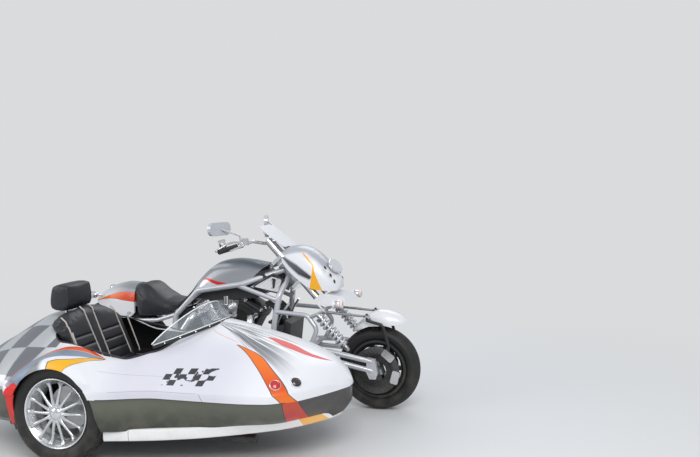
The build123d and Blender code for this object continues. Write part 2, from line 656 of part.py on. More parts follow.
# Sidecar hull sections. Each has its place along the machine, half width at the seam, crown
# height, half width and height of the bottom, the right side's swell to meet the wheel arch, and
# how full the right and left shoulders are, as shares of the crown's height
Station = namedtuple("Station", "x half crown foot floor_z swell near far")
REAR_SECTIONS = (
    Station(-480, 250, 440, 200, 250, 0, 0.64, 0.64),
    Station(-380, 360, 500, 300, 190, 0, 0.64, 0.66),
    Station(-200, 440, 612, 380, 150, 0, 0.64, 0.70),
    Station(60, 478, 736, 430, 150, 0, 0.64, 0.76),
    Station(300, 478, 738, 440, 150, 40, 0.64, 0.78),
    Station(520, 473, 650, 440, 150, 92, 0.62, 0.82),
    Station(680, 470, 645, 440, 150, 88, 0.64, 0.82),
    Station(860, 474, 696, 436, 150, 19, 0.74, 0.80),
    Station(1060, 480, 722, 412, 150, 0, 0.67, 0.72),
    Station(1200, 484, 706, 385, 152, 0, 0.64, 0.66),
)
NOSE_SECTIONS = (
    Station(1200, 484, 706, 385, 152, 0, 0.64, 0.66),
    Station(1370, 486, 660, 325, 160, 0, 0.64, 0.64),
    Station(1540, 468, 606, 262, 172, 0, 0.64, 0.64),
    Station(1660, 392, 556, 185, 190, 0, 0.64, 0.64),
    Station(1760, 250, 510, 105, 215, 0, 0.64, 0.64),
    Station(1830, 120, 460, 45, 245, 0, 0.64, 0.64),
    Station(1868, 34, 420, 14, 300, 0, 0.64, 0.64),
)
CREASE = 48.0


def upper_section(station, x, inset):
    """One section of the hull above the seam, drawn inside the skin by an inset."""
    half = station.half - inset
    near = half + station.swell
    crown = station.crown - inset
    edge = SEAM_Z + min(CREASE, 0.4 * (crown - SEAM_Z))
    base = SEAM_Z if inset == 0 else SEAM_Z - 1
    near_bulge = edge + station.near * (crown - edge)
    far_bulge = edge + station.far * (crown - edge)
    with BuildSketch(Plane.YZ.offset(x)) as section:
        with BuildLine():
            Line((HULL_Y - near, base), (HULL_Y + half, base))
            Line((HULL_Y + half, base), (HULL_Y + half - 3, edge))
            ThreePointArc((HULL_Y + half - 3, edge), (HULL_Y + 0.6 * half, far_bulge),
                          (HULL_Y, crown))
            ThreePointArc((HULL_Y, crown), (HULL_Y - 0.6 * half, near_bulge),
                          (HULL_Y - near + 3, edge))
            Line((HULL_Y - near + 3, edge), (HULL_Y - near, base))
        make_face()
    return section.sketch


def lower_section(station, x, inset):
    """One section of the tub below the seam, drawn inside the skin by an inset."""
    half = station.half - inset
    foot = max(station.foot - inset, 5)
    near = half + station.swell
    near_foot = foot + 0.88 * station.swell
    floor_z = station.floor_z + inset
    lip = SEAM_Z if inset == 0 else SEAM_Z + 1
    turn_z = floor_z + 0.22 * (lip - floor_z)
    with BuildSketch(Plane.YZ.offset(x)) as section:
        with BuildLine():
            Line((HULL_Y + half, lip), (HULL_Y - near, lip))
            ThreePointArc((HULL_Y - near, lip), (HULL_Y - 0.48 * (near + near_foot) - 0.05 * half,
                          0.5 * (lip + turn_z)), (HULL_Y - near_foot, turn_z))
            Line((HULL_Y - near_foot, turn_z), (HULL_Y - 0.8 * near_foot, floor_z))
            Line((HULL_Y - 0.8 * near_foot, floor_z), (HULL_Y + 0.8 * foot, floor_z))
            Line((HULL_Y + 0.8 * foot, floor_z), (HULL_Y + foot, turn_z))
            ThreePointArc((HULL_Y + foot, turn_z), (HULL_Y + 0.48 * (half + foot) + 0.05 * half,
                          0.5 * (lip + turn_z)), (HULL_Y + half, lip))
        make_face()
    return section.sketch


def hull_loft(table, upper, inset):
    """Loft one half of the hull, above or below the seam, through a table of sections."""
    last = len(table) - 1
    faces = []
    section = upper_section if upper else lower_section
    for index, station in enumerate(table):
        x = station.x
        if inset and index == 0 and x < 0:
            x = x + inset
        if inset and index == last and x > NOSE_SPLIT_X:
            x = x - inset
        faces.append(section(station, x, inset))
    return loft(sections=faces, mode=Mode.PRIVATE)


WELL_LOW = -20.0


def wheel_well(radius, low_y, high_y, floor_z=WELL_LOW):
    """The space round the sidecar wheel: a half round over a box down to the ground."""
    with BuildPart(mode=Mode.PRIVATE) as well:
        bar_across(SIDE_X, SIDE_R, radius, low_y, high_y)
        side_profile([(SIDE_X - radius, SIDE_R), (SIDE_X - radius, floor_z),
                      (SIDE_X + radius, floor_z), (SIDE_X + radius, SIDE_R)], low_y, high_y)
    return well.part


WELL = wheel_well(WELL_R, ARCH_Y + PANEL, WELL_Y)
LINER = wheel_well(WELL_R + PANEL, ARCH_Y + PANEL, WELL_Y + PANEL)
MOUTH = wheel_well(LIP_R, ARCH_Y - 60, ARCH_Y + 20)
with BuildPart() as arch_block:
    bar_across(SIDE_X, SIDE_R, ARCH_R, ARCH_Y, -1100)
    side_profile([(SIDE_X - ARCH_R, SIDE_R), (SIDE_X - ARCH_R, 170), (SIDE_X + ARCH_R, 170),
                  (SIDE_X + ARCH_R, SIDE_R)], ARCH_Y, -1100)
ARCH = arch_block.part
COCKPIT_PLAN = [(190, -600), (190, -1100), (260, -1155), (700, -1195), (900, -1180),
                (1135, -850), (900, -520), (700, -505), (260, -545)]
with BuildPart() as cockpit_block:
    with BuildSketch(Plane.XY.offset(SEAM_Z + 20)) as cockpit_plan:
        Polygon(*COCKPIT_PLAN, align=None)
    extrude(cockpit_plan.sketch, amount=600)
COCKPIT = cockpit_block.part

UPPER_OUTER = hull_loft(REAR_SECTIONS, True, 0)
UPPER_INNER = hull_loft(REAR_SECTIONS, True, PANEL)
with BuildPart() as body_hollow:
    add(UPPER_INNER)
    add(LINER, mode=Mode.SUBTRACT)
with BuildPart() as sidecar_body:
    add(UPPER_OUTER)
    add(ARCH)
    split(bisect_by=Plane.XY.offset(SEAM_Z), keep=Keep.TOP)
    clear(body_hollow)
    add(COCKPIT, mode=Mode.SUBTRACT)
    add(WELL, mode=Mode.SUBTRACT)
    add(MOUTH, mode=Mode.SUBTRACT)
finish(sidecar_body, "sidecar_body")

NOSE_OUTER = hull_loft(NOSE_SECTIONS, True, 0)
with BuildPart() as sidecar_nose:
    add(NOSE_OUTER)
    add(hull_loft(NOSE_SECTIONS, True, PANEL), mode=Mode.SUBTRACT)
finish(sidecar_nose, "sidecar_nose")

with BuildPart() as tub_hollow:
    add(hull_loft(REAR_SECTIONS, False, PANEL))
    add(LINER, mode=Mode.SUBTRACT)
with BuildPart() as tub_block:
    add(hull_loft(REAR_SECTIONS, False, 0))
with BuildPart() as sidecar_tub:
    add(tub_block.part)
    clear(tub_hollow)
    add(WELL, mode=Mode.SUBTRACT)
finish(sidecar_tub, "sidecar_tub")

with BuildPart() as tub_nose_block:
    add(hull_loft(NOSE_SECTIONS, False, 0))
with BuildPart() as sidecar_tub_nose:
    add(tub_nose_block.part)
    add(hull_loft(NOSE_SECTIONS, False, PANEL), mode=Mode.SUBTRACT)
finish(sidecar_tub_nose, "sidecar_tub_nose")

# Bumper strip round the tub's foot
BUMPER_PLAN = [(640, -1352), (1110, -1272), (1540, -1128), (1750, -975), (1812, -850)]
BUMPER_SIDE = [(640, 140), (1110, 160), (1560, 190), (1830, 215), (1830, 280), (1560, 252),
               (1110, 222), (640, 204)]
BUMPER_T = 26.0
with BuildPart() as sidecar_bumper:
    inner_plan = [(x - 8, y + BUMPER_T) for x, y in BUMPER_PLAN[:-1]] + [(1812 - BUMPER_T, -850)]
    plan_half = BUMPER_PLAN + inner_plan[::-1]
    with BuildSketch(Plane.XY.offset(120)) as bumper_plan:
        Polygon(*plan_half, align=None)
        mirror(about=Plane.XZ.offset(-HULL_Y))
    extrude(bumper_plan.sketch, amount=180)
    side_profile(BUMPER_SIDE, -1500, -200, mode=Mode.INTERSECT)
    side_profile([(600, 100), (1450, 100), (1450, 400), (600, 400)], HULL_Y, 0, mode=Mode.SUBTRACT)
    clear(tub_block, tub_nose_block)
finish(sidecar_bumper, "sidecar_bumper")

# Wraparound windshield and the seal along its foot
SHIELD_SIDE = [(848, 618), (1150, 722), (1050, 830)]
SEAL_SIDE = [(836, 602), (1165, 714), (1165, 735), (836, 623)]


def shield_band(outset, thickness):
    """A curved band leaning back, from which the windshield and its seal are cut."""
    back = outset - thickness
    with BuildSketch(Plane.XY.offset(560)) as band:
        with BuildLine():
            ThreePointArc((1012 + outset, -1204), (1282 + outset, -850), (1012 + outset, -496))
            Line((1012 + outset, -496), (1012 + back, -496))
            ThreePointArc((1012 + back, -496), (1282 + back, -850), (1012 + back, -1204))
            Line((1012 + back, -1204), (1012 + outset, -1204))
        make_face()
    extrude(band.sketch, amount=330, dir=(-0.707, 0, 0.707))


with BuildPart() as windshield:
    shield_band(0, 4)
    side_profile(SHIELD_SIDE, -1300, -400, mode=Mode.INTERSECT)
    clear(sidecar_body)
finish(windshield, "sidecar_windshield")

with BuildPart() as windshield_seal:
    shield_band(6, 16)
    side_profile(SEAL_SIDE, -1300, -400, mode=Mode.INTERSECT)
    clear(windshield, sidecar_body)
finish(windshield_seal, "windshield_seal")

# Passenger seat: backrest, cushion and headrest
SEAT_Y = (-1138, -562)
with BuildPart() as seat_back:
    side_profile([(170, 745), (215, 790), (262, 772), (430, 340), (430, 152), (330, 152),
                  (330, 300), (190, 640)], *SEAT_Y)
    clear(sidecar_body, sidecar_tub)
finish(seat_back, "sidecar_seat_back")

with BuildPart() as seat_cushion:
    side_profile([(440, 152), (860, 152), (880, 250), (900, 330), (860, 352), (440, 330)], *SEAT_Y)
    clear(sidecar_tub)
finish(seat_cushion, "sidecar_seat_cushion")

with BuildPart() as headrest:
    side_profile([(62, 766), (70, 890), (105, 915), (165, 915), (190, 890), (186, 766)], -975, -725)
    for y in (HULL_Y - 60, HULL_Y + 60):
        tube([(132, y, 729), (132, y, 790)], 9)
    clear(sidecar_body, seat_back)
finish(headrest, "sidecar_headrest")

# Round lamps let into the nose
with BuildPart() as sidecar_lamps:
    for lamp_at, outward in (((1581, -1249, 462), (0.40, -0.64, 0.66)),
                             ((1666, -1178, 463), (0.55, -0.52, 0.66))):
        lamp_face = Plane(origin=lamp_at, x_dir=(-outward[1], outward[0], 0), z_dir=outward)
        with BuildSketch(lamp_face.offset(-30)) as lamp:
            Circle(27)
        extrude(lamp.sketch, amount=42)
    add(NOSE_OUTER, mode=Mode.SUBTRACT)
finish(sidecar_lamps, "sidecar_lamps")

# Sidecar chassis: rails under the tub on pads, and struts to the frame's rails
RAIL_TUBE_R = 22.0
PAD_TOP = 149.8
with BuildPart() as sidecar_chassis:
    for y in (-1080, -600):
        tube([(-150, y, 120), (1400, y, 122)], RAIL_TUBE_R)
    for x in (-100, 720, 1250):
        bar_across(x, 121, 20, -1080, -600)
    for x in (330, 720, 1030):
        for y in (-1080, -600):
            side_profile([(x - 30, 130), (x + 30, 130), (x + 30, PAD_TOP), (x - 30, PAD_TOP)],
                         y - 20, y + 20)
    for x in (420, 1080):
        tube([(x, -600, 119), (x, -168, 168)], 16)
    tube([(1215, -600, 121), (1215, -480, 125), (1160, -160, 500)], 14, [60])
    tube([(-100, -600, 120), (-100, -480, 125), (-100, -345, 300), (-100, -345, 470),
          (-92, -138, 600)], 14, [50, 90, 70])
    clear(frame, radiator, exhaust)
finish(sidecar_chassis, "sidecar_chassis")

# Sidecar wheel arm and stub axle
with BuildPart() as sidecar_swingarm:
    tube([(640, -1104, 126), (600, -1196, 132), (SIDE_X, -1196, SIDE_R)], 18, [40])
    bar_across(SIDE_X, SIDE_R, 12, SIDE_Y - 50, -1178)
    clear(sidecar_chassis, sidecar_tub)
finish(sidecar_swingarm, "sidecar_swingarm")
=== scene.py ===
"""Sidecar motorcycle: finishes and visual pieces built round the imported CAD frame."""
import bmesh
import bpy
import logging
import math
from dataclasses import dataclass, field
from enum import Enum
from functools import cache
from typing import Callable, Sequence

import numpy as np
from mathutils import Matrix, Vector
from mathutils.bvhtree import BVHTree


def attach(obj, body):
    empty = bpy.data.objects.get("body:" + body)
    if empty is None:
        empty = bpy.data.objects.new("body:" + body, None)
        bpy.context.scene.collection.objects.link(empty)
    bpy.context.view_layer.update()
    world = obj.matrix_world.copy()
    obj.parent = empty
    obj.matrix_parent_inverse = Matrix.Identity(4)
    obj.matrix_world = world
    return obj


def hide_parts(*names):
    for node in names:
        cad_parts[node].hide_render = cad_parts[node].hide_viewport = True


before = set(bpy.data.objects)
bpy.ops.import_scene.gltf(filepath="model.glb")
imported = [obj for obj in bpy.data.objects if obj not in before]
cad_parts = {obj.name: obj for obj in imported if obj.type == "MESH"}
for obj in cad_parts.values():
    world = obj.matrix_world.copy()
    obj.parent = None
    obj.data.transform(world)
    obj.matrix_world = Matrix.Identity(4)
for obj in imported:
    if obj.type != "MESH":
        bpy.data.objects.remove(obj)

LOG = logging.getLogger("sidecar")
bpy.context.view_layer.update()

Point = Sequence[float]
Socket = bpy.types.NodeSocket

# The datum of the source is the ground below the rear axle, in millimetres
DATUM_X = 801.5
DATUM_Y = -466.0
MM = 0.001

HULL_Y = -850.0
SEAM_Z = 380.0
SIDE_AXLE = (368.0, -1308.0, 280.0)
FRONT_AXLE = (1813.0, 0.0, 270.0)
REAR_AXLE = (0.0, 0.0, 312.0)
SIDE_LIP_R = 252.0
ARCH_R = 318.0
ARCH_Y = -1418.0
# Further out than anything of the sidecar
FAR_OUT = -3000.0


def at(x: float, y: float, z: float) -> Vector:
    """A datum point in millimetres as a point of the row frame in metres."""
    return Vector(((x - DATUM_X) * MM, (y - DATUM_Y) * MM, z * MM))


def datum(place: Vector) -> Vector:
    """A point of the row frame in metres as a datum point in millimetres."""
    return Vector((place.x / MM + DATUM_X, place.y / MM + DATUM_Y, place.z / MM))


class Side(Enum):
    """The two sides of the machine, as the sign of y."""

    LEFT = 1
    RIGHT = -1


class Tree:
    """Short calls that add nodes to a material, a world, a group or a geometry tree."""

    def __init__(self, tree: bpy.types.NodeTree) -> None:
        """Keeps the tree that the calls add to."""
        self.tree = tree

    def node(self, kind: str, feeds: dict[str | int, object] | None = None,
             **settings: object) -> bpy.types.Node:
        """Adds a node, sets its properties and fills its inputs.

        Args:
            kind: the node's type name.
            feeds: sockets or plain values by the input's name or number.
            settings: properties to set on it.

        Returns:
            The new node.
        """
        made = self.tree.nodes.new(kind)
        for name, value in settings.items():
            setattr(made, name, value)
        for label, value in (feeds or {}).items():
            self.feed(made.inputs[label], value)
        return made

    def leave(self, results: dict[str | int, Socket]) -> bpy.types.NodeTree:
        """Feeds the group's output node and returns the group."""
        self.node("NodeGroupOutput", results)
        return self.tree

    def feed(self, socket: Socket, value: object) -> None:
        """Links another socket into this one, or sets its value."""
        if isinstance(value, bpy.types.NodeSocket):
            self.tree.links.new(value, socket)
        elif isinstance(value, (tuple, list)) and len(value) == 3 and socket.type == "RGBA":
            socket.default_value = (*value, 1.0)
        else:
            socket.default_value = value

    def math(self, operation: str, a: object, b: object = 0.0, c: object = 0.0) -> Socket:
        """A Math node's output, its result clamped where the operation is named with +."""
        return self.node("ShaderNodeMath", {0: a, 1: b, 2: c}, operation=operation.rstrip("+"),
                         use_clamp=operation.endswith("+")).outputs[0]

    def plus(self, a: object, b: object) -> Socket:
        """The sum of two values."""
        return self.math("ADD", a, b)

    def minus(self, a: object, b: object) -> Socket:
        """The first value less the second."""
        return self.math("SUBTRACT", a, b)

    def times(self, a: object, b: object) -> Socket:
        """The product of two values."""
        return self.math("MULTIPLY", a, b)

    def scaled(self, a: object, share: object, start: object) -> Socket:
        """A value times a share, added to a start."""
        return self.math("MULTIPLY_ADD", a, share, start)

    def length(self, a: Socket, b: Socket) -> Socket:
        """The length of a run that is given by its two parts."""
        return self.math("SQRT", self.plus(self.times(a, a), self.times(b, b)))

    def squares(self, across: Socket, up: Socket, shift: float) -> Socket:
        """Chequers of two counts, the second raised by a shift that keeps it above 0."""
        rows = self.math("FLOOR", self.plus(up, shift))
        return self.math("MODULO", self.plus(self.math("FLOOR", across), rows), 2.0)

    def object_mm(self) -> tuple[Socket, Socket, Socket, Socket]:
        """Object coordinates, whole and split, as datum millimetres for the last three."""
        coord = self.node("ShaderNodeTexCoord").outputs["Object"]
        across, back, up = self.node("ShaderNodeSeparateXYZ", {0: coord}).outputs
        x = self.scaled(across, 1.0 / MM, DATUM_X)
        y = self.scaled(back, 1.0 / MM, DATUM_Y)
        return coord, x, y, self.times(up, 1.0 / MM)

    def ramp(self, value: object, low: float, high: float, smooth: bool = True) -> Socket:
        """Maps a value from low..high to 0..1, held at both ends."""
        return self.node("ShaderNodeMapRange", {"Value": value, "From Min": low, "From Max": high},
                         clamp=True,
                         interpolation_type="SMOOTHSTEP" if smooth else "LINEAR").outputs["Result"]

    def band(self, value: object, low: object, high: object, soft: float = 1.5) -> Socket:
        """A mask that is 1 while a value lies between two limits."""
        above = self.math("DIVIDE+", self.minus(value, low), soft)
        below = self.math("DIVIDE+", self.minus(high, value), soft)
        return self.times(above, below)

    def outboard(self, y: Socket, limit: float) -> Socket:
        """A mask of the sidecar's outer side, from a limit across the machine."""
        return self.band(y, FAR_OUT, limit)

    def both(self, *masks: object) -> Socket:
        """The product of several masks."""
        product = masks[0]
        for mask in masks[1:]:
            product = self.times(product, mask)
        return product

    def profile(self, value: object, points: Sequence[tuple[float, float]],
                smooth: bool = True) -> Socket:
        """A curve through points, held flat past its ends.

        Args:
            value: what is looked up.
            points: pairs of value and result, the values rising.
            smooth: whether the curve is rounded at its points.

        Returns:
            The curve's result.
        """
        lows = [p[0] for p in points]
        highs = [p[1] for p in points]
        low, high = min(highs), max(highs) if max(highs) > min(highs) else min(highs) + 1
        spread = self.ramp(value, lows[0], lows[-1], smooth=False)
        made = self.node("ShaderNodeFloatCurve")
        curve = made.mapping.curves[0]
        made.mapping.use_clip = False
        scaled = [((px - lows[0]) / (lows[-1] - lows[0]), (py - low) / (high - low))
                  for px, py in points]
        curve.points[0].location = scaled[0]
        curve.points[1].location = scaled[-1]
        for place in scaled[1:-1]:
            curve.points.new(*place)
        for point in curve.points:
            point.handle_type = "AUTO_CLAMPED" if smooth else "VECTOR"
        made.mapping.update()
        self.feed(made.inputs["Value"], spread)
        return self.scaled(made.outputs[0], high - low, low)

    def mix(self, mask: object, under: object, over: object) -> Socket:
        """Lays one colour over another by a mask."""
        return self.node("ShaderNodeMix", {"Factor": mask, 6: under, 7: over},
                         data_type="RGBA").outputs[2]

    def noise(self, scale: object, detail: float, where: Socket) -> Socket:
        """Noise at a place, about 0.5 in the middle."""
        return self.node("ShaderNodeTexNoise",
                         {"Vector": where, "Scale": scale, "Detail": detail}).outputs["Fac"]


class Groups:
    """Shader groups that more than one finish uses, each built once."""

    @staticmethod
    def start(name: str, inputs: dict[str, tuple[str, object]],
              outputs: dict[str, str]) -> tuple[Tree, bpy.types.NodeOutputs]:
        """Opens a new group.

        Args:
            name: the group's name.
            inputs: kind and value of each input.
            outputs: kind of each output.

        Returns:
            The group's short calls and the sockets of its inputs.
        """
        tree = bpy.data.node_groups.new(name, "ShaderNodeTree")
        for label, (kind, value) in inputs.items():
            socket = tree.interface.new_socket(label, in_out="INPUT",
                                               socket_type=f"NodeSocket{kind}")
            socket.default_value = (*value, 1.0) if kind == "Color" else value
        for label, kind in outputs.items():
            tree.interface.new_socket(label, in_out="OUTPUT", socket_type=f"NodeSocket{kind}")
        work = Tree(tree)
        return work, work.node("NodeGroupInput").outputs

    @staticmethod
    @cache
    def ageing() -> bpy.types.NodeTree:
        """Colour drift, dust that settles on top and low down, and fine roughness change."""
        work, entry = Groups.start(
            "ageing", {"Colour": ("Color", (0.5, 0.5, 0.5)), "Roughness": ("Float", 0.4),
                       "Drift": ("Float", 0.1), "Scale": ("Float", 6.0), "Dust": ("Float", 0.1)},
            {"Colour": "Color", "Roughness": "Float", "Height": "Float"})
        coord, _, _, height_mm = work.object_mm()
        broad = work.noise(entry["Scale"], 4.0, coord)
        fine = work.noise(90.0, 3.0, coord)
        lift = work.times(work.minus(broad, 0.5), entry["Drift"])
        shade = work.node("ShaderNodeHueSaturation",
                          {"Value": work.plus(lift, 1.0), "Color": entry["Colour"]})
        normal = work.node("ShaderNodeNewGeometry").outputs["Normal"]
        split = work.node("ShaderNodeSeparateXYZ", {0: normal})
        upward = work.ramp(split.outputs[2], 0.2, 1.0)
        low_down = work.ramp(height_mm, 420.0, 60.0)
        settle = work.math("MAXIMUM", work.times(upward, 0.6), low_down)
        patch = work.ramp(work.noise(14.0, 5.0, coord), 0.35, 0.75)
        dust = work.math("MULTIPLY+", work.both(settle, patch), entry["Dust"])
        rough = work.scaled(work.minus(fine, 0.5), 0.05, entry["Roughness"])
        return work.leave({"Colour": work.mix(dust, shade.outputs[0], (0.42, 0.37, 0.29)),
                           "Roughness": work.math("MULTIPLY_ADD+", dust, 0.35, rough),
                           "Height": fine})

    @staticmethod
    @cache
    def leather() -> bpy.types.NodeTree:
        """Pebbled hide: cells for the grain and longer soft creases, darkened in the folds as
        painted shade.
        """
        work, entry = Groups.start("leather",
                                   {"Grain": ("Float", 420.0), "Creases": ("Float", 24.0)},
                                   {"Height": "Float", "Shade": "Float"})
        coord = work.node("ShaderNodeTexCoord").outputs["Object"]
        cells = work.node("ShaderNodeTexVoronoi", {"Vector": coord, "Scale": entry["Grain"]},
                          feature="DISTANCE_TO_EDGE")
        pebble = work.ramp(cells.outputs["Distance"], 0.0, 0.18)
        crease = work.noise(entry["Creases"], 6.0, coord)
        fold = work.ramp(work.math("ABSOLUTE", work.minus(crease, 0.5)), 0.0, 0.05)
        # Shade darkens the colour in the creases: painted shade in the folds
        return work.leave({"Height": work.plus(work.times(pebble, 0.6), work.times(fold, 0.5)),
                           "Shade": work.scaled(fold, 0.25, 0.75)})

    @staticmethod
    @cache
    def brushed() -> bpy.types.NodeTree:
        """Long fine scratches, for turned, brushed and cast metal."""
        work, entry = Groups.start("brushed",
                                   {"Along": ("Vector", (20.0, 20.0, 20.0)),
                                    "Cast": ("Float", 0.0)}, {"Height": "Float", "Shade": "Float"})
        coord = work.node("ShaderNodeTexCoord").outputs["Object"]
        product = work.node("ShaderNodeVectorMath", {0: coord, 1: entry["Along"]},
                            operation="MULTIPLY")
        lines = work.noise(30.0, 4.0, product.outputs[0])
        pits = work.noise(700.0, 2.0, coord)
        height = work.plus(work.times(lines, 0.5), work.times(pits, entry["Cast"]))
        return work.leave({"Height": height, "Shade": work.scaled(lines, 0.3, 0.85)})


class Surface(Enum):
    """How a finish's fine relief is made."""

    SMOOTH = "smooth"
    HIDE = "leather"
    METAL = "brushed"


@dataclass(frozen=True)
class Finish:
    """One plain finish: its colour, its gloss and the fine detail that the real one shows."""

    name: str
    colour: tuple[float, float, float]
    roughness: float
    metallic: float = 0.0
    coat: float = 0.0
    drift: float = 0.12
    drift_scale: float = 6.0
    dust: float = 0.1
    relief: float = 0.02
    kind: Surface = Surface.SMOOTH
    along: tuple[float, float, float] = (1.0, 1.0, 1.0)
    cast: float = 0.3
    alpha: float = 1.0
    painter: Callable[[Tree], Socket] | None = None

    def material(self) -> bpy.types.Material:
        """Builds the finish once and returns it after that.

        Returns:
            The material.
        """
        old = bpy.data.materials.get(self.name)
        if old is not None:
            return old
        made = bpy.data.materials.new(self.name)
        made.use_nodes = True
        made.node_tree.nodes.clear()
        work = Tree(made.node_tree)
        colour = self.painter(work) if self.painter else self.colour
        aged = work.node("ShaderNodeGroup",
                         {"Colour": colour, "Roughness": self.roughness, "Drift": self.drift,
                          "Scale": self.drift_scale, "Dust": self.dust}, node_tree=Groups.ageing())
        height, shown = aged.outputs["Height"], aged.outputs["Colour"]
        if self.kind is Surface.HIDE:
            hide = work.node("ShaderNodeGroup", node_tree=Groups.leather())
            height = hide.outputs["Height"]
            # Painted shade: the hide's Shade darkens its creases
            shown = work.mix(hide.outputs["Shade"], (0.004, 0.004, 0.004), shown)
        elif self.kind is Surface.METAL:
            metal = work.node("ShaderNodeGroup", {"Along": self.along, "Cast": self.cast},
                              node_tree=Groups.brushed())
            height = metal.outputs["Height"]
            shown = work.mix(metal.outputs["Shade"], (0.05, 0.05, 0.05), shown)
        bump = work.node("ShaderNodeBump",
                         {"Strength": self.relief, "Distance": 0.001, "Height": height})
        shader = work.node("ShaderNodeBsdfPrincipled",
                           {"Normal": bump.outputs[0], "Base Color": shown,
                            "Roughness": aged.outputs["Roughness"], "Metallic": self.metallic,
                            "Coat Weight": self.coat, "Coat Roughness": 0.04, "Alpha": self.alpha})
        work.node("ShaderNodeOutputMaterial", {"Surface": shader.outputs[0]})
        return made


class Meshes:
    """Mesh making in datum millimetres."""

    @staticmethod
    def piece(name: str, points: Sequence[Point], faces: Sequence[Sequence[int]],
              finish: Finish, body: str = "chassis", angle: float = 40.0) -> bpy.types.Object:
        """Makes a smooth-shaded piece that rides on a body.

        Args:
            name: the piece's name.
            points: datum points in millimetres.
            faces: indices of each face's points.
            finish: its finish.
            body: the CAD body that carries it.
            angle: edges sharper than this many degrees stay sharp.

        Returns:
            The object.
        """
        mesh = bpy.data.meshes.new(name)
        mesh.from_pydata([at(*p) for p in points], [], [tuple(f) for f in faces])
        mesh.validate()
        made = bpy.data.objects.new(name, mesh)
        bpy.context.scene.collection.objects.link(made)
        mesh.materials.append(finish.material())
        Meshes.tidy(made, angle)
        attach(made, body)
        LOG.info("%s: %d faces on %s", name, len(mesh.polygons), body)
        return made

    @staticmethod
    def outwards(mesh: bpy.types.Mesh) -> None:
        """Merges doubles and turns the faces outwards."""
        work = bmesh.new()
        work.from_mesh(mesh)
        bmesh.ops.remove_doubles(work, verts=work.verts, dist=2e-6)
        bmesh.ops.recalc_face_normals(work, faces=work.faces)
        work.to_mesh(mesh)
        work.free()

    @staticmethod
    def tidy(made: bpy.types.Object, angle: float) -> None:
        """Turns a piece's faces outwards and shades it smooth up to an angle in degrees."""
        Meshes.outwards(made.data)
        made.data.shade_smooth()
        made.data.set_sharp_from_angle(angle=math.radians(angle))

    @staticmethod
    def cut(made: bpy.types.Object, *shapes: tuple[list, list]) -> None:
        """Cuts closed shapes out of a piece.

        Args:
            made: the piece.
            shapes: the points and faces of each shape.
        """
        for points, faces in shapes:
            mesh = bpy.data.meshes.new("cutter")
            mesh.from_pydata([at(*p) for p in points], [], faces)
            Meshes.outwards(mesh)
            tool = bpy.data.objects.new("cutter", mesh)
            bpy.context.scene.collection.objects.link(tool)
            boolean = made.modifiers.new("cut", "BOOLEAN")
            boolean.object = tool
            boolean.solver = "EXACT"
            Meshes.apply(made)
            bpy.data.objects.remove(tool)

    @staticmethod
    def apply(made: bpy.types.Object) -> None:
        """Turns the object's modifiers into plain mesh and removes them."""
        graph = bpy.context.evaluated_depsgraph_get()
        mesh = bpy.data.meshes.new_from_object(made.evaluated_get(graph), depsgraph=graph)
        made.modifiers.clear()
        old = made.data
        made.data = mesh
        mesh.name = made.name
        bpy.data.meshes.remove(old)

    @staticmethod
    def join(parts: Sequence[tuple[list, list]]) -> tuple[list, list]:
        """Puts several pairs of points and faces into one."""
        points: list = []
        faces: list = []
        for part_points, part_faces in parts:
            start = len(points)
            points.extend(part_points)
            faces.extend([tuple(i + start for i in f) for f in part_faces])
        return points, faces

    @staticmethod
    def rounded(path: Sequence[Point], bend: float, steps: int = 6) -> list[Vector]:
        """Rounds the corners of a run of straight lines.

        Args:
            path: the corner points.
            bend: radius of each corner.
            steps: divisions of each corner.

        Returns:
            The points of the rounded run.
        """
        corners = [Vector(p) for p in path]
        out = [corners[0]]
        for before, here, after in zip(corners, corners[1:], corners[2:]):
            back = (before - here).normalized()
            ahead = (after - here).normalized()
            half = back.angle(ahead) / 2
            reach = min(bend / math.tan(half), 0.48 * (before - here).length,
                        0.48 * (after - here).length)
            start, end = here + back * reach, here + ahead * reach
            for step in range(steps + 1):
                t = step / steps
                out.append((1 - t) ** 2 * start + 2 * t * (1 - t) * here + t ** 2 * end)
        out.append(corners[-1])
        return out

    @staticmethod
    def sweep(path: Sequence[Point], radius: float | Sequence[float], sides: int = 16,
              closed: bool = False) -> tuple[list, list]:
        """Sweeps a round bar along a path.

        Args:
            path: points of the path.
            radius: one radius, or one for each point.
            sides: divisions round the bar.
            closed: whether the path is a loop.

        Returns:
            Points and faces, closed at both ends.
        """
        line = [Vector(p) for p in path]
        radii = [radius] * len(line) if isinstance(radius, (int, float)) else list(radius)
        sections = []
        across = None
        count = len(line)
        for index, here in enumerate(line):
            if closed:
                ahead = (line[(index + 1) % count] - line[index - 1]).normalized()
            else:
                ahead = (line[min(index + 1, count - 1)] - line[max(index - 1, 0)]).normalized()
            if across is None:
                guide = Vector((0, 0, 1)) if abs(ahead.z) < 0.9 else Vector((1, 0, 0))
                across = ahead.cross(guide).normalized()
            across = (across - ahead * across.dot(ahead)).normalized()
            other = ahead.cross(across)
            sections.append([here + (across * math.cos(turn) + other * math.sin(turn))
                             * radii[index]
                             for turn in (2 * math.pi * k / sides for k in range(sides))])
        return Outline.rings(sections, closed)

    @staticmethod
    def lathe(axle: Point, profile: Sequence[tuple[float, float]],
              segments: int) -> tuple[list, list]:
        """Turns a closed outline round an axle that lies across the machine.

        Args:
            axle: a datum point on the axle.
            profile: distance along the axle and radius of each point.
            segments: divisions round the axle.

        Returns:
            Points and faces.
        """
        turns = [2 * math.pi * k / segments for k in range(segments)]
        return Outline.rings([[Meshes.polar(axle, *p, turn) for p in profile] for turn in turns],
                             loop=True)

    @staticmethod
    def polar(axle: Point, along: float, radius: float, turn: float) -> Point:
        """A datum point by its place along an axle, its radius and its turn."""
        return (axle[0] + radius * math.cos(turn), axle[1] + along,
                axle[2] + radius * math.sin(turn))


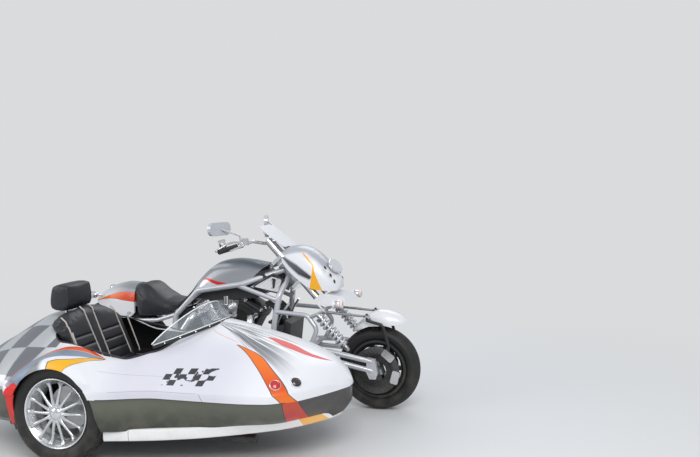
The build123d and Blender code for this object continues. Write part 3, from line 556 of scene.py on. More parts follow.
class Repeat:
    """Geometry Nodes trees that repeat a base mesh, each built once and used with its own sizes."""

    @staticmethod
    def start(name: str, **inputs: str) -> tuple[Tree, bpy.types.NodeOutputs]:
        """Opens a geometry tree.

        Args:
            name: the tree's name.
            inputs: the kind of each input after the geometry.

        Returns:
            The tree's short calls and the sockets of its inputs.
        """
        tree = bpy.data.node_groups.new(name, "GeometryNodeTree")
        for label, kind in {"Geometry": "Geometry", **inputs}.items():
            tree.interface.new_socket(label, in_out="INPUT", socket_type=f"NodeSocket{kind}")
        tree.interface.new_socket("Geometry", in_out="OUTPUT", socket_type="NodeSocketGeometry")
        work = Tree(tree)
        return work, work.node("NodeGroupInput").outputs

    @staticmethod
    def close(work: Tree, copies: dict[str, Socket], material: Socket) -> bpy.types.NodeTree:
        """Places the copies, and ends the tree with Realize Instances and Set Material.

        Args:
            work: the tree's short calls.
            copies: what goes into Instance on Points.
            material: the copies' material.

        Returns:
            The tree.
        """
        placed = work.node("GeometryNodeInstanceOnPoints", copies)
        real = work.node("GeometryNodeRealizeInstances", {0: placed.outputs[0]})
        paint = work.node("GeometryNodeSetMaterial",
                          {"Geometry": real.outputs[0], "Material": material})
        return work.leave({0: paint.outputs[0]})

    @staticmethod
    @cache
    def round_axle() -> bpy.types.NodeTree:
        """Copies of the base mesh turned round an axis through a centre."""
        work, entry = Repeat.start("round_axle", Count="Int", Centre="Vector", Axis="Vector",
                                   Step="Float", Material="Material")
        shift = work.node("ShaderNodeVectorMath", {0: entry["Centre"], "Scale": -1.0},
                          operation="SCALE")
        home = work.node("GeometryNodeTransform",
                         {"Geometry": entry["Geometry"], "Translation": shift.outputs[0]})
        points = work.node("GeometryNodePoints",
                           {"Count": entry["Count"], "Position": entry["Centre"]})
        angle = work.times(work.node("GeometryNodeInputIndex").outputs[0], entry["Step"])
        turn = work.node("FunctionNodeAxisAngleToRotation", {"Axis": entry["Axis"], "Angle": angle})
        return Repeat.close(work, {"Points": points.outputs[0], "Instance": home.outputs[0],
                                   "Rotation": turn.outputs[0]}, entry["Material"])

    @staticmethod
    @cache
    def along_line() -> bpy.types.NodeTree:
        """Copies of the base mesh at equal steps along a straight line."""
        work, entry = Repeat.start("along_line", Count="Int", Step="Vector", Material="Material")
        line = work.node("GeometryNodeMeshLine", {"Count": entry["Count"], "Offset": entry["Step"]},
                         mode="OFFSET")
        return Repeat.close(work, {"Points": line.outputs[0], "Instance": entry["Geometry"]},
                            entry["Material"])

    @staticmethod
    @cache
    def on_path() -> bpy.types.NodeTree:
        """Domed screws at the vertices of a path, their heads turned along one given way."""
        work, entry = Repeat.start("on_path", Radius="Float", Height="Float", Out="Vector",
                                   Material="Material")
        head = work.node("GeometryNodeMeshUVSphere",
                         {"Segments": 14, "Rings": 8, "Radius": entry["Radius"]})
        scale = work.node("ShaderNodeCombineXYZ", {0: 1.0, 1: 1.0, 2: entry["Height"]})
        flat = work.node("GeometryNodeTransform",
                         {"Geometry": head.outputs[0], "Scale": scale.outputs[0]})
        align = work.node("FunctionNodeAlignRotationToVector", {"Vector": entry["Out"]}, axis="Z")
        return Repeat.close(work, {"Points": entry["Geometry"], "Instance": flat.outputs[0],
                                   "Rotation": align.outputs[0]}, entry["Material"])

    @staticmethod
    def run(made: bpy.types.Object, tree: bpy.types.NodeTree, **values: object) -> None:
        """Runs a tree on an object and keeps the result as its plain mesh.

        Args:
            made: the object with the base mesh.
            tree: one of this class's trees.
            values: the tree's inputs by name.
        """
        modifier = made.modifiers.new(tree.name, "NODES")
        modifier.node_group = tree
        for item in tree.interface.items_tree:
            if item.item_type == "SOCKET" and item.in_out == "INPUT" and item.name in values:
                modifier[item.identifier] = values[item.name]
        Meshes.apply(made)

    @staticmethod
    def ring(made: bpy.types.Object, count: int, axle: Point, finish: Finish) -> None:
        """Repeats a piece at equal steps round an axle that lies across the machine.

        Args:
            made: the piece.
            count: how many there are in the end.
            axle: a datum point on the axle.
            finish: the copies' finish.
        """
        Repeat.run(made, Repeat.round_axle(), Count=count, Centre=at(*axle), Axis=(0.0, 1.0, 0.0),
                   Step=2 * math.pi / count, Material=finish.material())


class HullPaint:
    """The artwork on the sidecar, drawn by masks on Object coordinates."""

    WHITE = (0.80, 0.80, 0.83)
    LAVENDER = (0.62, 0.61, 0.68)
    SILVER = (0.42, 0.44, 0.45)
    GREY = (0.10, 0.105, 0.12)
    DARK = (0.035, 0.037, 0.045)
    ORANGE = (0.72, 0.055, 0.004)
    AMBER = (0.84, 0.17, 0.010)
    YELLOW = (0.88, 0.44, 0.008)
    RED = (0.72, 0.02, 0.015)
    LENS = (0.62, 0.004, 0.003)
    BLUE = (0.22, 0.28, 0.36)

    STRIPE_LEFT = ((380, 1622), (410, 1600), (487, 1519), (559, 1423), (599, 1356), (625, 1300))
    STRIPE_RIGHT = ((380, 1684), (463, 1617), (529, 1528), (579, 1443), (610, 1352), (625, 1305))

    @classmethod
    def stripe(cls, work: Tree, x: Socket, y: Socket, z: Socket) -> Socket:
        """The broad orange stripe that runs down the nose to the seam."""
        low = work.profile(z, cls.STRIPE_LEFT)
        high = work.profile(z, cls.STRIPE_RIGHT)
        return work.both(work.band(x, low, high), work.outboard(y, HULL_Y),
                         work.band(z, 300.0, 626.0))

    @classmethod
    def upper(cls, work: Tree) -> Socket:
        """Paint of the hull above the seam.

        Args:
            work: the material's tree.

        Returns:
            The colour.
        """
        coord, x, y, z = work.object_mm()
        reach = work.math("ABSOLUTE", work.minus(y, HULL_Y))
        # Pearl base: lavender on the flank, whiter on the nose and the lip
        flank = work.both(work.ramp(x, 560.0, 800.0), work.ramp(x, 1560.0, 1250.0),
                          work.ramp(reach, 120.0, 320.0))
        colour = work.mix(work.times(flank, 0.75), cls.WHITE, cls.LAVENDER)
        colour = work.mix(work.ramp(x, 330.0, 120.0), colour, cls.SILVER)
        # Chequered rear deck
        angle = work.math("ARCTAN2", work.minus(z, 250.0), reach)
        rows = work.times(angle, 2.55)
        bend = work.times(work.math("SINE", work.times(angle, 3.0)), 38.0)
        columns = work.math("DIVIDE", work.plus(work.minus(x, 92.0), bend), 128.0)
        flip = work.squares(rows, columns, 20.0)
        deck = work.both(work.band(x, -470.0, 262.0, 2.0), work.band(z, 470.0, 800.0))
        faded = work.scaled(work.noise(3.0, 2.0, coord), 0.5, 0.45)
        squares = work.mix(faded, cls.GREY, (0.17, 0.175, 0.19))
        colour = work.mix(work.both(deck, flip), colour, squares)
        # White band round the tail
        colour = work.mix(work.both(work.ramp(x, 190.0, 182.0, False),
                                    work.band(z, 398.0, 456.0)), colour, cls.WHITE)
        # Brushed streaks that fan out from the screen's foot
        dx = work.minus(x, 1085.0)
        dy = work.minus(-896.0, y)
        fan = work.math("ARCTAN2", dy, dx)
        run = work.length(dx, dy)
        ray = work.node("ShaderNodeCombineXYZ",
                        {0: work.times(fan, 22.0), 1: work.times(run, 0.0022)})
        streaks = work.noise(1.6, 5.0, ray.outputs[0])
        window = work.both(work.band(fan, -0.16, 0.60, 0.06), work.ramp(x, 1105.0, 1150.0),
                           work.ramp(run, 640.0, 300.0))
        dark = work.both(window, work.ramp(streaks, 0.47, 0.56), work.ramp(run, 520.0, 200.0))
        grey = work.both(window, work.ramp(streaks, 0.44, 0.60))
        wedge = work.both(work.band(fan, 0.335, 0.52, 0.03), work.ramp(run, 640.0, 380.0),
                          work.ramp(x, 1180.0, 1280.0))
        colour = work.mix(work.times(grey, 0.85), colour, (0.22, 0.23, 0.26))
        colour = work.mix(work.times(wedge, 0.88), colour, (0.20, 0.205, 0.22))
        colour = work.mix(work.times(dark, 0.85), colour, cls.DARK)
        # Orange stripe with a dark outline, and the thin line behind it
        stripe = cls.stripe(work, x, y, z)
        wide = work.both(work.band(x, work.minus(work.profile(z, cls.STRIPE_LEFT), 4.0),
                                   work.plus(work.profile(z, cls.STRIPE_RIGHT), 4.0)),
                         work.outboard(y, HULL_Y), work.band(z, 300.0, 626.0))
        colour = work.mix(wide, colour, cls.DARK)
        blend = work.mix(work.ramp(z, 560.0, 420.0), cls.AMBER, cls.ORANGE)
        colour = work.mix(stripe, colour, work.mix(work.ramp(z, 470.0, 400.0), blend, cls.AMBER))
        line = work.profile(x, ((1100, -975), (1136, -1000), (1213, -1032), (1300, -1051)))
        thin = work.both(work.band(y, work.minus(line, 4.0), line),
                         work.band(x, 1110.0, 1306.0, 30.0))
        colour = work.mix(thin, colour, cls.ORANGE)
        # Red lens on the far edge of the nose
        inner = work.profile(x, ((1412, -914), (1450, -901), (1508, -891), (1562, -890),
                                 (1634, -900), (1703, -885), (1771, -850)))
        outer = work.profile(x, ((1412, -914), (1431, -928), (1486, -949), (1534, -960),
                                 (1585, -956), (1648, -943), (1712, -913), (1771, -850)))
        lens = work.both(work.band(y, outer, inner), work.band(x, 1412.0, 1768.0, 4.0))
        colour = work.mix(lens, colour, cls.LENS)
        # Chequered scrap on the flank, broken up at its ends
        along = work.math("DIVIDE", work.minus(x, 958.0), 41.0)
        slope = work.scaled(work.minus(x, 958.0), 0.02, 450.0)
        lift = work.math("DIVIDE", work.minus(z, slope), 26.0)
        skew = work.plus(along, work.times(lift, -0.28))
        scrap = work.squares(skew, lift, 10.0)
        torn = work.ramp(work.noise(16.0, 1.0, coord), 0.34, 0.37, False)
        blot = work.ramp(work.noise(24.0, 1.0, coord), 0.60, 0.62, False)
        scrap = work.math("MAXIMUM", scrap, blot)
        place = work.both(work.band(skew, 0.0, 7.0, 0.05), work.band(lift, 0.0, 3.0, 0.05),
                          work.outboard(y, HULL_Y - 120.0))
        colour = work.mix(work.both(place, scrap, torn), colour, cls.DARK)
        # Painted shade in the moulded crease above the lip, and pin lines on the flank
        pin = work.profile(x, ((560, 512), (640, 506), (760, 497), (980, 488)))
        flank_side = work.outboard(y, HULL_Y - 150.0)
        pins = work.both(work.band(z, work.minus(pin, 1.2), work.plus(pin, 1.2)),
                         work.band(x, 600.0, 985.0, 12.0), flank_side)
        colour = work.mix(work.times(pins, 0.7), colour, (0.20, 0.16, 0.20))
        # Painted shade: a dark line along the crease where the lip steps in
        crease = work.both(work.band(z, SEAM_Z + 40.0, SEAM_Z + 43.5),
                           work.band(x, 700.0, 1190.0, 12.0), flank_side)
        colour = work.mix(work.times(crease, 0.6), colour, (0.16, 0.15, 0.18))
        lean = work.scaled(work.minus(z, SEAM_Z), -0.55, 1215.0)
        notch = work.both(work.band(x, lean, work.plus(lean, 4.0)),
                          work.band(z, 0.0, SEAM_Z + 42.0), flank_side)
        colour = work.mix(notch, colour, (0.10, 0.09, 0.11))
        # Painted shadow: a near-black band at the lip's foot, where the lip overhangs the tub
        foot = work.both(work.ramp(z, SEAM_Z + 4.0, SEAM_Z + 3.0, False),
                         work.band(x, 640.0, 1640.0), flank_side)
        colour = work.mix(foot, colour, (0.03, 0.028, 0.03))
        return cls.arch(work, colour, x, y, z)

    @classmethod
    def arch_band(cls, work: Tree, x: Socket, y: Socket, z: Socket) -> Socket:
        """Distance from the wheel opening's lip, out over the arch and inboard, in millimetres."""
        dx = work.minus(x, SIDE_AXLE[0])
        dz = work.minus(z, SIDE_AXLE[2])
        radius = work.length(dx, dz)
        inboard = work.math("MAXIMUM", work.minus(y, ARCH_Y), 0.0)
        return work.plus(work.minus(radius, SIDE_LIP_R), inboard)

    @classmethod
    def arch(cls, work: Tree, colour: Socket, x: Socket, y: Socket, z: Socket) -> Socket:
        """Lays the wheel arch's coloured bands over a colour."""
        band = cls.arch_band(work, x, y, z)
        dx = work.minus(x, SIDE_AXLE[0])
        dz = work.minus(z, SIDE_AXLE[2])
        angle = work.math("DEGREES", work.math("ARCTAN2", dz, dx))
        outer = work.profile(angle, ((52, 300), (60, 306), (75, 312), (90, 305), (105, 262),
                                     (125, 160), (145, 84), (160, 60)))
        orange_w = work.profile(angle, ((52, 6), (70, 42), (90, 62), (110, 46), (130, 22),
                                        (150, 8)))
        blue_w = work.profile(angle, ((52, 4), (65, 60), (85, 110), (105, 120), (130, 130),
                                      (150, 90)))
        near = work.outboard(y, HULL_Y - 150.0)
        window = work.both(near, work.band(angle, 50.0, 152.0, 1.0), work.band(z, 340.0, 800.0))
        orange_low = work.minus(outer, orange_w)
        blue_low = work.minus(orange_low, blue_w)
        blue = work.both(window, work.band(band, blue_low, orange_low, 3.0))
        grey_rear = work.both(window, work.band(band, -60.0, orange_low, 3.0),
                              work.ramp(angle, 100.0, 108.0))
        colour = work.mix(grey_rear, colour, (0.20, 0.22, 0.23))
        colour = work.mix(blue, colour, cls.BLUE)
        orange = work.both(window, work.band(band, orange_low, outer, 3.0))
        tone = work.mix(work.ramp(work.minus(outer, band), 26.0, 4.0), cls.AMBER, cls.RED)
        colour = work.mix(orange, colour, work.mix(0.55, tone, cls.ORANGE))
        # Yellow flash from the lip to a point inboard of the arch's front
        yellow_high = work.profile(angle, ((52, 290), (58, 262), (66, 190), (75, 122), (88, 82),
                                           (96, 60)))
        yellow_low = work.profile(angle, ((52, 286), (58, 225), (64, 120), (70, 40), (74, -40)))
        yellow = work.both(near, work.band(band, yellow_low, yellow_high, 3.0),
                           work.band(angle, 52.0, 94.0, 0.8), work.band(z, 340.0, 800.0))
        outline = work.both(near, work.band(band, work.minus(yellow_low, 8.0),
                                            work.plus(yellow_high, 7.0), 3.0),
                            work.band(angle, 51.0, 95.2, 0.8), work.band(z, 340.0, 800.0))
        colour = work.mix(outline, colour, cls.DARK)
        colour = work.mix(yellow, colour, cls.YELLOW)
        # Red lip down the rear of the opening
        low_angle = work.math("DEGREES", work.math("ARCTAN2", dz, work.times(dx, -1.0)))
        red_high = work.profile(low_angle, ((-40, 60), (0, 62), (20, 58), (32, 40), (38, 26)))
        red = work.both(near, work.ramp(dx, 0.0, -2.0, False), work.band(low_angle, -60.0, 39.0),
                        work.band(band, -60.0, red_high, 2.0))
        return work.mix(red, colour, cls.RED)

    @classmethod
    def lower(cls, work: Tree) -> Socket:
        """Paint of the tub below the seam: a dark olive that is a painted reflection of grass,
        darker low down as painted shade.
        """
        _, x, y, z = work.object_mm()
        # Painted reflection of grass and painted shade: dark olive, darker towards the bottom
        tone = work.ramp(z, 200.0, 380.0)
        colour = work.mix(tone, (0.045, 0.047, 0.036), (0.125, 0.135, 0.095))
        nose = work.ramp(x, 1668.0, 1676.0, False)
        colour = work.mix(nose, colour, (0.055, 0.05, 0.05))
        low = work.profile(z, ((200, 1568), (257, 1590), (320, 1606), (380, 1622)), False)
        high = work.profile(z, ((200, 1682), (266, 1682), (330, 1683), (380, 1684)), False)
        stripe = work.both(work.band(x, low, high), work.outboard(y, HULL_Y - 60.0))
        wide = work.both(work.band(x, work.minus(low, 4.0), work.plus(high, 4.0)),
                         work.outboard(y, HULL_Y - 60.0))
        colour = work.mix(wide, colour, cls.DARK)
        colour = work.mix(stripe, colour, work.mix(work.ramp(z, 280.0, 340.0), cls.RED, cls.ORANGE))
        dx = work.minus(x, SIDE_AXLE[0])
        rear = work.both(work.band(dx, -330.0, -180.0), work.outboard(y, ARCH_Y + 90.0))
        return work.mix(rear, colour, cls.RED)

    @classmethod
    def bumper(cls, work: Tree) -> Socket:
        """White strip with the stripe's pale tail."""
        _, x, y, z = work.object_mm()
        depth = work.minus(270.0, z)
        low, high = work.scaled(depth, 0.55, 1618.0), work.scaled(depth, 0.9, 1716.0)
        patch = work.both(work.band(x, low, high), work.outboard(y, HULL_Y - 40.0))
        joint = work.both(work.band(x, 779.0, 782.0, 0.7), work.outboard(y, HULL_Y))
        colour = work.mix(patch, (0.86, 0.86, 0.84), (0.93, 0.50, 0.14))
        return work.mix(joint, colour, cls.GREY)


@dataclass
class SidecarHull:
    """The sidecar's shell, built smooth from the same stations as the solid."""

    # Place, half width at the seam, crown, half width and height of the bottom, and how full the
    # near and the far shoulder are
    stations: tuple = (
        (-480, 250, 440, 200, 250, 0.64, 0.64), (-380, 360, 500, 300, 190, 0.64, 0.66),
        (-200, 440, 612, 380, 150, 0.64, 0.70), (60, 478, 736, 430, 150, 0.64, 0.76),
        (300, 478, 738, 440, 150, 0.64, 0.78), (520, 473, 650, 440, 150, 0.62, 0.82),
        (680, 470, 645, 440, 150, 0.64, 0.82), (860, 474, 696, 436, 150, 0.74, 0.80),
        (1060, 480, 722, 412, 150, 0.67, 0.72), (1200, 484, 706, 385, 152, 0.64, 0.66),
        (1370, 486, 660, 325, 160, 0.64, 0.64), (1540, 468, 606, 262, 172, 0.64, 0.64),
        (1660, 392, 556, 185, 190, 0.64, 0.64), (1760, 250, 510, 105, 215, 0.64, 0.64),
        (1830, 120, 460, 45, 245, 0.64, 0.64), (1868, 34, 420, 14, 300, 0.64, 0.64),
    )
    cockpit: tuple = ((190, -600), (190, -1100), (260, -1155), (700, -1195), (900, -1180),
                      (1040, -1020), (1135, -850), (1040, -680), (900, -520), (700, -505),
                      (260, -545))
    wall: float = 6.0
    across: int = 34
    step: float = 18.0
    # Height of the edge above the seam, and the angle over which the near side's swell fades
    edge: float = 48.0
    fade: float = 0.30
    # How square the wheel arch's box is, and how softly it joins the hull
    squareness: int = 7
    softness: float = 34.0
    upper: bpy.types.Object | None = field(default=None, init=False)
    tree: BVHTree | None = field(default=None, init=False)

    def spline(self, column: int, x: float) -> float:
        """One station value at any x, by a monotone cubic through the stations."""
        xs = [s[0] for s in self.stations]
        ys = [float(s[column]) for s in self.stations]
        x = min(max(x, xs[0]), xs[-1])
        slopes = [(b - a) / (v - u) for a, b, u, v in zip(ys, ys[1:], xs, xs[1:])]
        lean = [slopes[0]]
        for before, after in zip(slopes, slopes[1:]):
            lean.append(0.0 if before * after <= 0 else 2 * before * after / (before + after))
        lean.append(slopes[-1])
        i = min(max(sum(1 for v in xs if v <= x) - 1, 0), len(xs) - 2)
        width = xs[i + 1] - xs[i]
        t = (x - xs[i]) / width
        return ((2 * t ** 3 - 3 * t ** 2 + 1) * ys[i] + (t ** 3 - 2 * t ** 2 + t) * width * lean[i]
                + (-2 * t ** 3 + 3 * t ** 2) * ys[i + 1] + (t ** 3 - t ** 2) * width * lean[i + 1])

    @staticmethod
    def ease(x: float, low: float, high: float) -> float:
        """A smooth step from 0 at low to 1 at high."""
        t = min(max((x - low) / (high - low), 0.0), 1.0)
        return t * t * (3 - 2 * t)

    def flare(self, x: float) -> float:
        """How far the near side swells at the seam to meet the wheel arch."""
        reach = HULL_Y - ARCH_Y - self.spline(1, x)
        return reach * self.ease(x, 38.0, 72.0) * (1 - self.ease(x, 610.0, 960.0))

    def upper_half(self, x: float, near: bool) -> list[Point]:
        """One half section above the seam, from the seam to the crown."""
        half, crown = self.spline(1, x), self.spline(2, x)
        rise = crown - SEAM_Z
        edge = min(self.edge, 0.4 * rise)
        first = Vector((half - 3, edge))
        full = self.spline(5 if near else 6, x)
        mid = Vector((0.6 * half, edge + full * (rise - edge)))
        last = Vector((0.0, rise))
        # Circle through the three points
        ax, ay, bx, by, cx, cy = *first, *mid, *last
        d = 2 * (ax * (by - cy) + bx * (cy - ay) + cx * (ay - by))
        ux = ((ax * ax + ay * ay) * (by - cy) + (bx * bx + by * by) * (cy - ay)
              + (cx * cx + cy * cy) * (ay - by)) / d
        uy = ((ax * ax + ay * ay) * (cx - bx) + (bx * bx + by * by) * (ax - cx)
              + (cx * cx + cy * cy) * (bx - ax)) / d
        radius = math.hypot(ax - ux, ay - uy)
        start = math.atan2(ay - uy, ax - ux)
        end = math.atan2(cy - uy, cx - ux)
        arc = [(ux + radius * math.cos(start + (end - start) * k / 60),
                uy + radius * math.sin(start + (end - start) * k / 60)) for k in range(61)]
        angles = [math.atan2(v, u) for u, v in arc]
        radii = [math.hypot(u, v) for u, v in arc]
        swell = self.flare(x) if near else 0.0
        drop = ARCH_R ** 2 - (x - SIDE_AXLE[0]) ** 2
        height = SIDE_AXLE[2] - SEAM_Z + math.sqrt(drop) if near and drop > 0 else 0.0
        out: list[Point] = [(half + swell + 3, 0.0), (half + swell + 3, 0.5 * edge),
                            (half + swell + 3, edge - 5), (half + swell, edge)]
        crease = math.atan2(edge, half - 3)
        for k in range(1, self.across + 1):
            share = k / self.across
            theta = crease + (math.pi / 2 - crease) * share
            reach = float(np.interp(theta, angles, radii))
            reach += swell * math.exp(-((theta - crease) / self.fade) ** 2)
            if height > 4:
                wide, power, soft = HULL_Y - ARCH_Y, self.squareness, self.softness
                box = ((math.cos(theta) / wide) ** power
                       + (math.sin(theta) / height) ** power) ** (-1 / power)
                reach = (reach + box + math.sqrt((reach - box) ** 2 + soft ** 2)) / 2
                reach -= soft ** 2 / (4 * math.hypot(soft, 220.0))
            out.append((reach * math.cos(theta), reach * math.sin(theta)))
        sign = -1 if near else 1
        return [(x, HULL_Y + sign * u, SEAM_Z + v) for u, v in out]

    def lower_half(self, x: float, near: bool) -> list[Point]:
        """One half section below the seam, from the seam to the keel."""
        half, foot, floor_z = self.spline(1, x), self.spline(3, x), self.spline(4, x)
        swell = self.flare(x) if near else 0.0
        top = SEAM_Z - 2
        turn_z = floor_z + 0.22 * (top - floor_z)
        lip = half - min(9.0, 0.2 * half)
        mid = 0.48 * (lip + foot) + 0.05 * half
        out = []
        for k in range(13):
            t = k / 12
            u = (1 - t) ** 2 * lip + 2 * t * (1 - t) * (2 * mid - 0.5 * (lip + foot)) + t * t * foot
            out.append((u + swell * (1 - 0.12 * t), top + (turn_z - top) * t))
        for k in range(1, 6):
            t = k / 5
            out.append(((foot + swell * 0.88) * (1 - 0.2 * t), turn_z + (floor_z - turn_z) * t))
        for k in range(1, 7):
            out.append(((foot + swell * 0.88) * 0.8 * (1 - k / 6), floor_z))
        sign = -1 if near else 1
        return [(x, HULL_Y + sign * u, v) for u, v in out]

    def skin(self, name: str, half: Callable[[float, bool], list[Point]],
             finishes: tuple[Finish, Finish]) -> bpy.types.Object:
        """Makes one open skin from half sections and gives it a wall.

        Args:
            name: the piece's name.
            half: the function of station and side that gives a half section.
            finishes: the outside and the inside finish.

        Returns:
            The piece.
        """
        count = int((self.stations[-1][0] - self.stations[0][0]) / self.step)
        stations = [self.stations[0][0] + (self.stations[-1][0] - self.stations[0][0]) * k / count
                    for k in range(count + 1)]
        points: list[Point] = []
        for x in stations:
            points.extend(half(x, True) + half(x, False)[::-1][1:])
        rows = len(points) // len(stations)
        faces = []
        for i in range(len(stations) - 1):
            for j in range(rows - 1):
                a = i * rows + j
                faces.append((a, a + 1, a + rows + 1, a + rows))
        for i, flip in ((0, False), (len(stations) - 1, True)):
            ring = [i * rows + j for j in range(rows)]
            faces.append(tuple(ring[::-1] if flip else ring))
        made = Meshes.piece(name, points, faces, finishes[0])
        made.data.materials.append(finishes[1].material())
        work = bmesh.new()
        work.from_mesh(made.data)
        bmesh.ops.recalc_face_normals(work, faces=work.faces)
        middle = at(700, HULL_Y, 400 if half == self.upper_half else 360)
        outward = sum((f.calc_center_median() - middle).dot(f.normal) * f.calc_area()
                      for f in work.faces)
        if outward < 0:
            bmesh.ops.reverse_faces(work, faces=work.faces)
        work.to_mesh(made.data)
        work.free()
        wall = made.modifiers.new("wall", "SOLIDIFY")
        wall.thickness = self.wall * MM
        wall.offset = -1.0
        wall.material_offset = 1
        wall.use_even_offset = False
        Meshes.apply(made)
        return made

    @staticmethod
    def prism(outline: Sequence[tuple[float, float]], low: float, high: float) -> tuple[list, list]:
        """A plan outline raised between two heights."""
        return Outline.rings([[(x, y, z) for x, y in outline] for z in (low, high)])

    @staticmethod
    def opening() -> tuple[list, list]:
        """The wheel opening as a cutter: a round arch that widens to the ground."""
        middle, _, height = SIDE_AXLE
        outline = [(middle + SIDE_LIP_R * math.cos(turn), height + SIDE_LIP_R * math.sin(turn))
                   for turn in (math.pi * k / 48 for k in range(49))]
        outline += [(middle - SIDE_LIP_R - 6, 190), (middle - SIDE_LIP_R - 10, -30),
                    (middle + SIDE_LIP_R + 44, -30), (middle + SIDE_LIP_R + 22, 190)]
        return Outline.slab(outline, -1500.0, -1160.0)

    def cockpit_outline(self, grow: float) -> list[tuple[float, float]]:
        """The cockpit's rounded plan, grown outwards by some millimetres."""
        middle = Vector((640, HULL_Y))
        loop = [Vector(p) for p in self.cockpit]
        closed = [(p.x, p.y, 0) for p in loop[-1:] + loop + loop[:2]]
        soft = Meshes.rounded(closed, 120.0, 7)[1:-1]
        out = []
        for p in soft[4:-3]:
            away = (Vector((p.x, p.y)) - middle).normalized() * grow
            point = (p.x + away.x, p.y + away.y)
            if not out or math.dist(out[-1], point) > 4:
                out.append(point)
        return out

    def build(self, paint: "Paints") -> None:
        """Builds the two shells, the liner, the lining and the cockpit's beading.

        Args:
            paint: the finishes.
        """
        self.upper = self.skin("sidecar_shell_upper", self.upper_half, (paint.hull, paint.lining))
        Meshes.cut(self.upper, self.prism(self.cockpit_outline(0.0), 400, 900), self.opening())
        Meshes.tidy(self.upper, 38.0)
        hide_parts("sidecar_body", "sidecar_nose")
        lower = self.skin("sidecar_shell_lower", self.lower_half, (paint.tub, paint.lining))
        Meshes.cut(lower, self.opening())
        Meshes.tidy(lower, 38.0)
        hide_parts("sidecar_tub", "sidecar_tub_nose")
        self.tree = Outline.tree(self.upper)
        self.liner(paint)
        self.beading(paint)

    def on_top(self, x: float, y: float, lift: float) -> Vector:
        """The datum point at a lift off the upper skin above a plan point."""
        hit, normal, _, _ = self.tree.ray_cast(at(x, y, 1300), Vector((0, 0, -1)))
        return Vector((x, y, SEAM_Z)) if hit is None else datum(hit + normal * lift * MM)

    def liner(self, paint: "Paints") -> None:
        """The black inner arch that closes the wheel well off from the hull."""
        profile = [(-52.0, 256.0), (-54.0, 281.0), (146.0, 281.0), (146.0, 60.0), (149.0, 60.0),
                   (149.0, 284.0), (-58.0, 284.0), (-56.0, 256.0)]
        turns = [math.radians(-22 + 224 * k / 44) for k in range(45)]
        shape = Outline.rings([[Meshes.polar(SIDE_AXLE, *p, turn) for p in profile]
                               for turn in turns])
        Meshes.piece("wheel_well_liner", *shape, paint.liner)

    def beading(self, paint: "Paints") -> None:
        """A rubber bead along the cockpit's edge."""
        path = [self.on_top(x, y, 1.0) for x, y in self.cockpit_outline(3.5)]
        Meshes.piece("cockpit_bead", *Meshes.sweep(path, 5.0, 10, closed=True), paint.rubber)


class Outline:
    """Curves through a few points and shapes raised from them, in datum millimetres."""

    @staticmethod
    def curve(points: Sequence[Point], steps: int = 6, closed: bool = False) -> list[Vector]:
        """A smooth curve through points.

        Args:
            points: the points, of two or three numbers each.
            steps: divisions between two points.
            closed: whether the curve is a loop.

        Returns:
            The points of the curve, those given among them.
        """
        knots = [Vector(p) for p in points]
        count = len(knots)
        out = []
        for i in range(count if closed else count - 1):
            here, after = knots[i], knots[(i + 1) % count]
            before = knots[i - 1] if closed or i else here * 2 - after
            beyond = (knots[(i + 2) % count] if closed or i + 2 < count else after * 2 - here)
            for step in range(steps):
                t = step / steps
                out.append(0.5 * ((here * 2) + (after - before) * t
                                  + (before * 2 - here * 5 + after * 4 - beyond) * t * t
                                  + (here * 3 - before - after * 3 + beyond) * t ** 3))
        if not closed:
            out.append(knots[-1])
        return out

    @staticmethod
    def slab(outline: Sequence[Point], low_y: float, high_y: float) -> tuple[list, list]:
        """A side view given as x and z, raised between two distances across the machine."""
        return Outline.rings([[(x, y, z) for x, z in outline] for y in (low_y, high_y)])

    @staticmethod
    def rings(sections: Sequence[Sequence[Point]], loop: bool = False) -> tuple[list, list]:
        """A skin through closed sections that have the same number of points.

        Args:
            sections: the sections.
            loop: whether the last section joins the first; if not, both are closed.

        Returns:
            Points and faces.
        """
        rows, count = len(sections[0]), len(sections)
        points = [p for section in sections for p in section]
        faces: list = []
        for i in range(count if loop else count - 1):
            low, high = i * rows, (i + 1) % count * rows
            for j in range(rows):
                after = (j + 1) % rows
                faces.append((low + j, low + after, high + after, high + j))
        if not loop:
            faces.append(tuple(range(rows))[::-1])
            faces.append(tuple(range((count - 1) * rows, count * rows)))
        return points, faces

    @staticmethod
    def soften(made: bpy.types.Object, width: float) -> None:
        """Rounds the sharp edges of a piece to a width in millimetres."""
        bevel = made.modifiers.new("round", "BEVEL")
        bevel.width = width * MM
        bevel.segments = 3
        bevel.limit_method = "ANGLE"
        bevel.angle_limit = math.radians(30)
        bevel.use_clamp_overlap = True
        Meshes.apply(made)
        made.data.shade_smooth()
        made.data.set_sharp_from_angle(angle=math.radians(42))

    @staticmethod
    def tree(made: bpy.types.Object) -> BVHTree:
        """A search tree of a piece's faces."""
        made.data.calc_loop_triangles()
        return BVHTree.FromPolygons([v.co for v in made.data.vertices],
                                    [tuple(t.vertices) for t in made.data.loop_triangles])

    @staticmethod
    def lay(tree: BVHTree, path: Sequence[Point], towards: Point, lift: float) -> list[Vector]:
        """Lays a path on a piece.

        Args:
            tree: the piece's search tree.
            path: datum points in front of the piece.
            towards: the way from a point to the piece.
            lift: how far the result stands off the surface, in millimetres.

        Returns:
            Datum points on the surface; a point that misses it stays where it is.
        """
        way = Vector(towards).normalized()
        out = []
        for p in path:
            start = at(*p) - way * 0.15
            hit = tree.ray_cast(start, way, 0.4)[0]
            out.append(Vector(p) if hit is None else datum(hit - way * lift * MM))
        return out

    @staticmethod
    def steady(path: Sequence[Vector]) -> list[Vector]:
        """Takes the jumps out of a laid path: each place is the median of seven."""
        count = len(path)
        places = []
        for k in range(count):
            near = sorted(path[min(max(k + j, 0), count - 1)].x for j in range(-3, 4))
            places.append(near[3])
        return [Vector((sum(places[max(k - 2, 0):k + 3]) / len(places[max(k - 2, 0):k + 3]), p.y,
                        p.z)) for k, p in enumerate(path)]


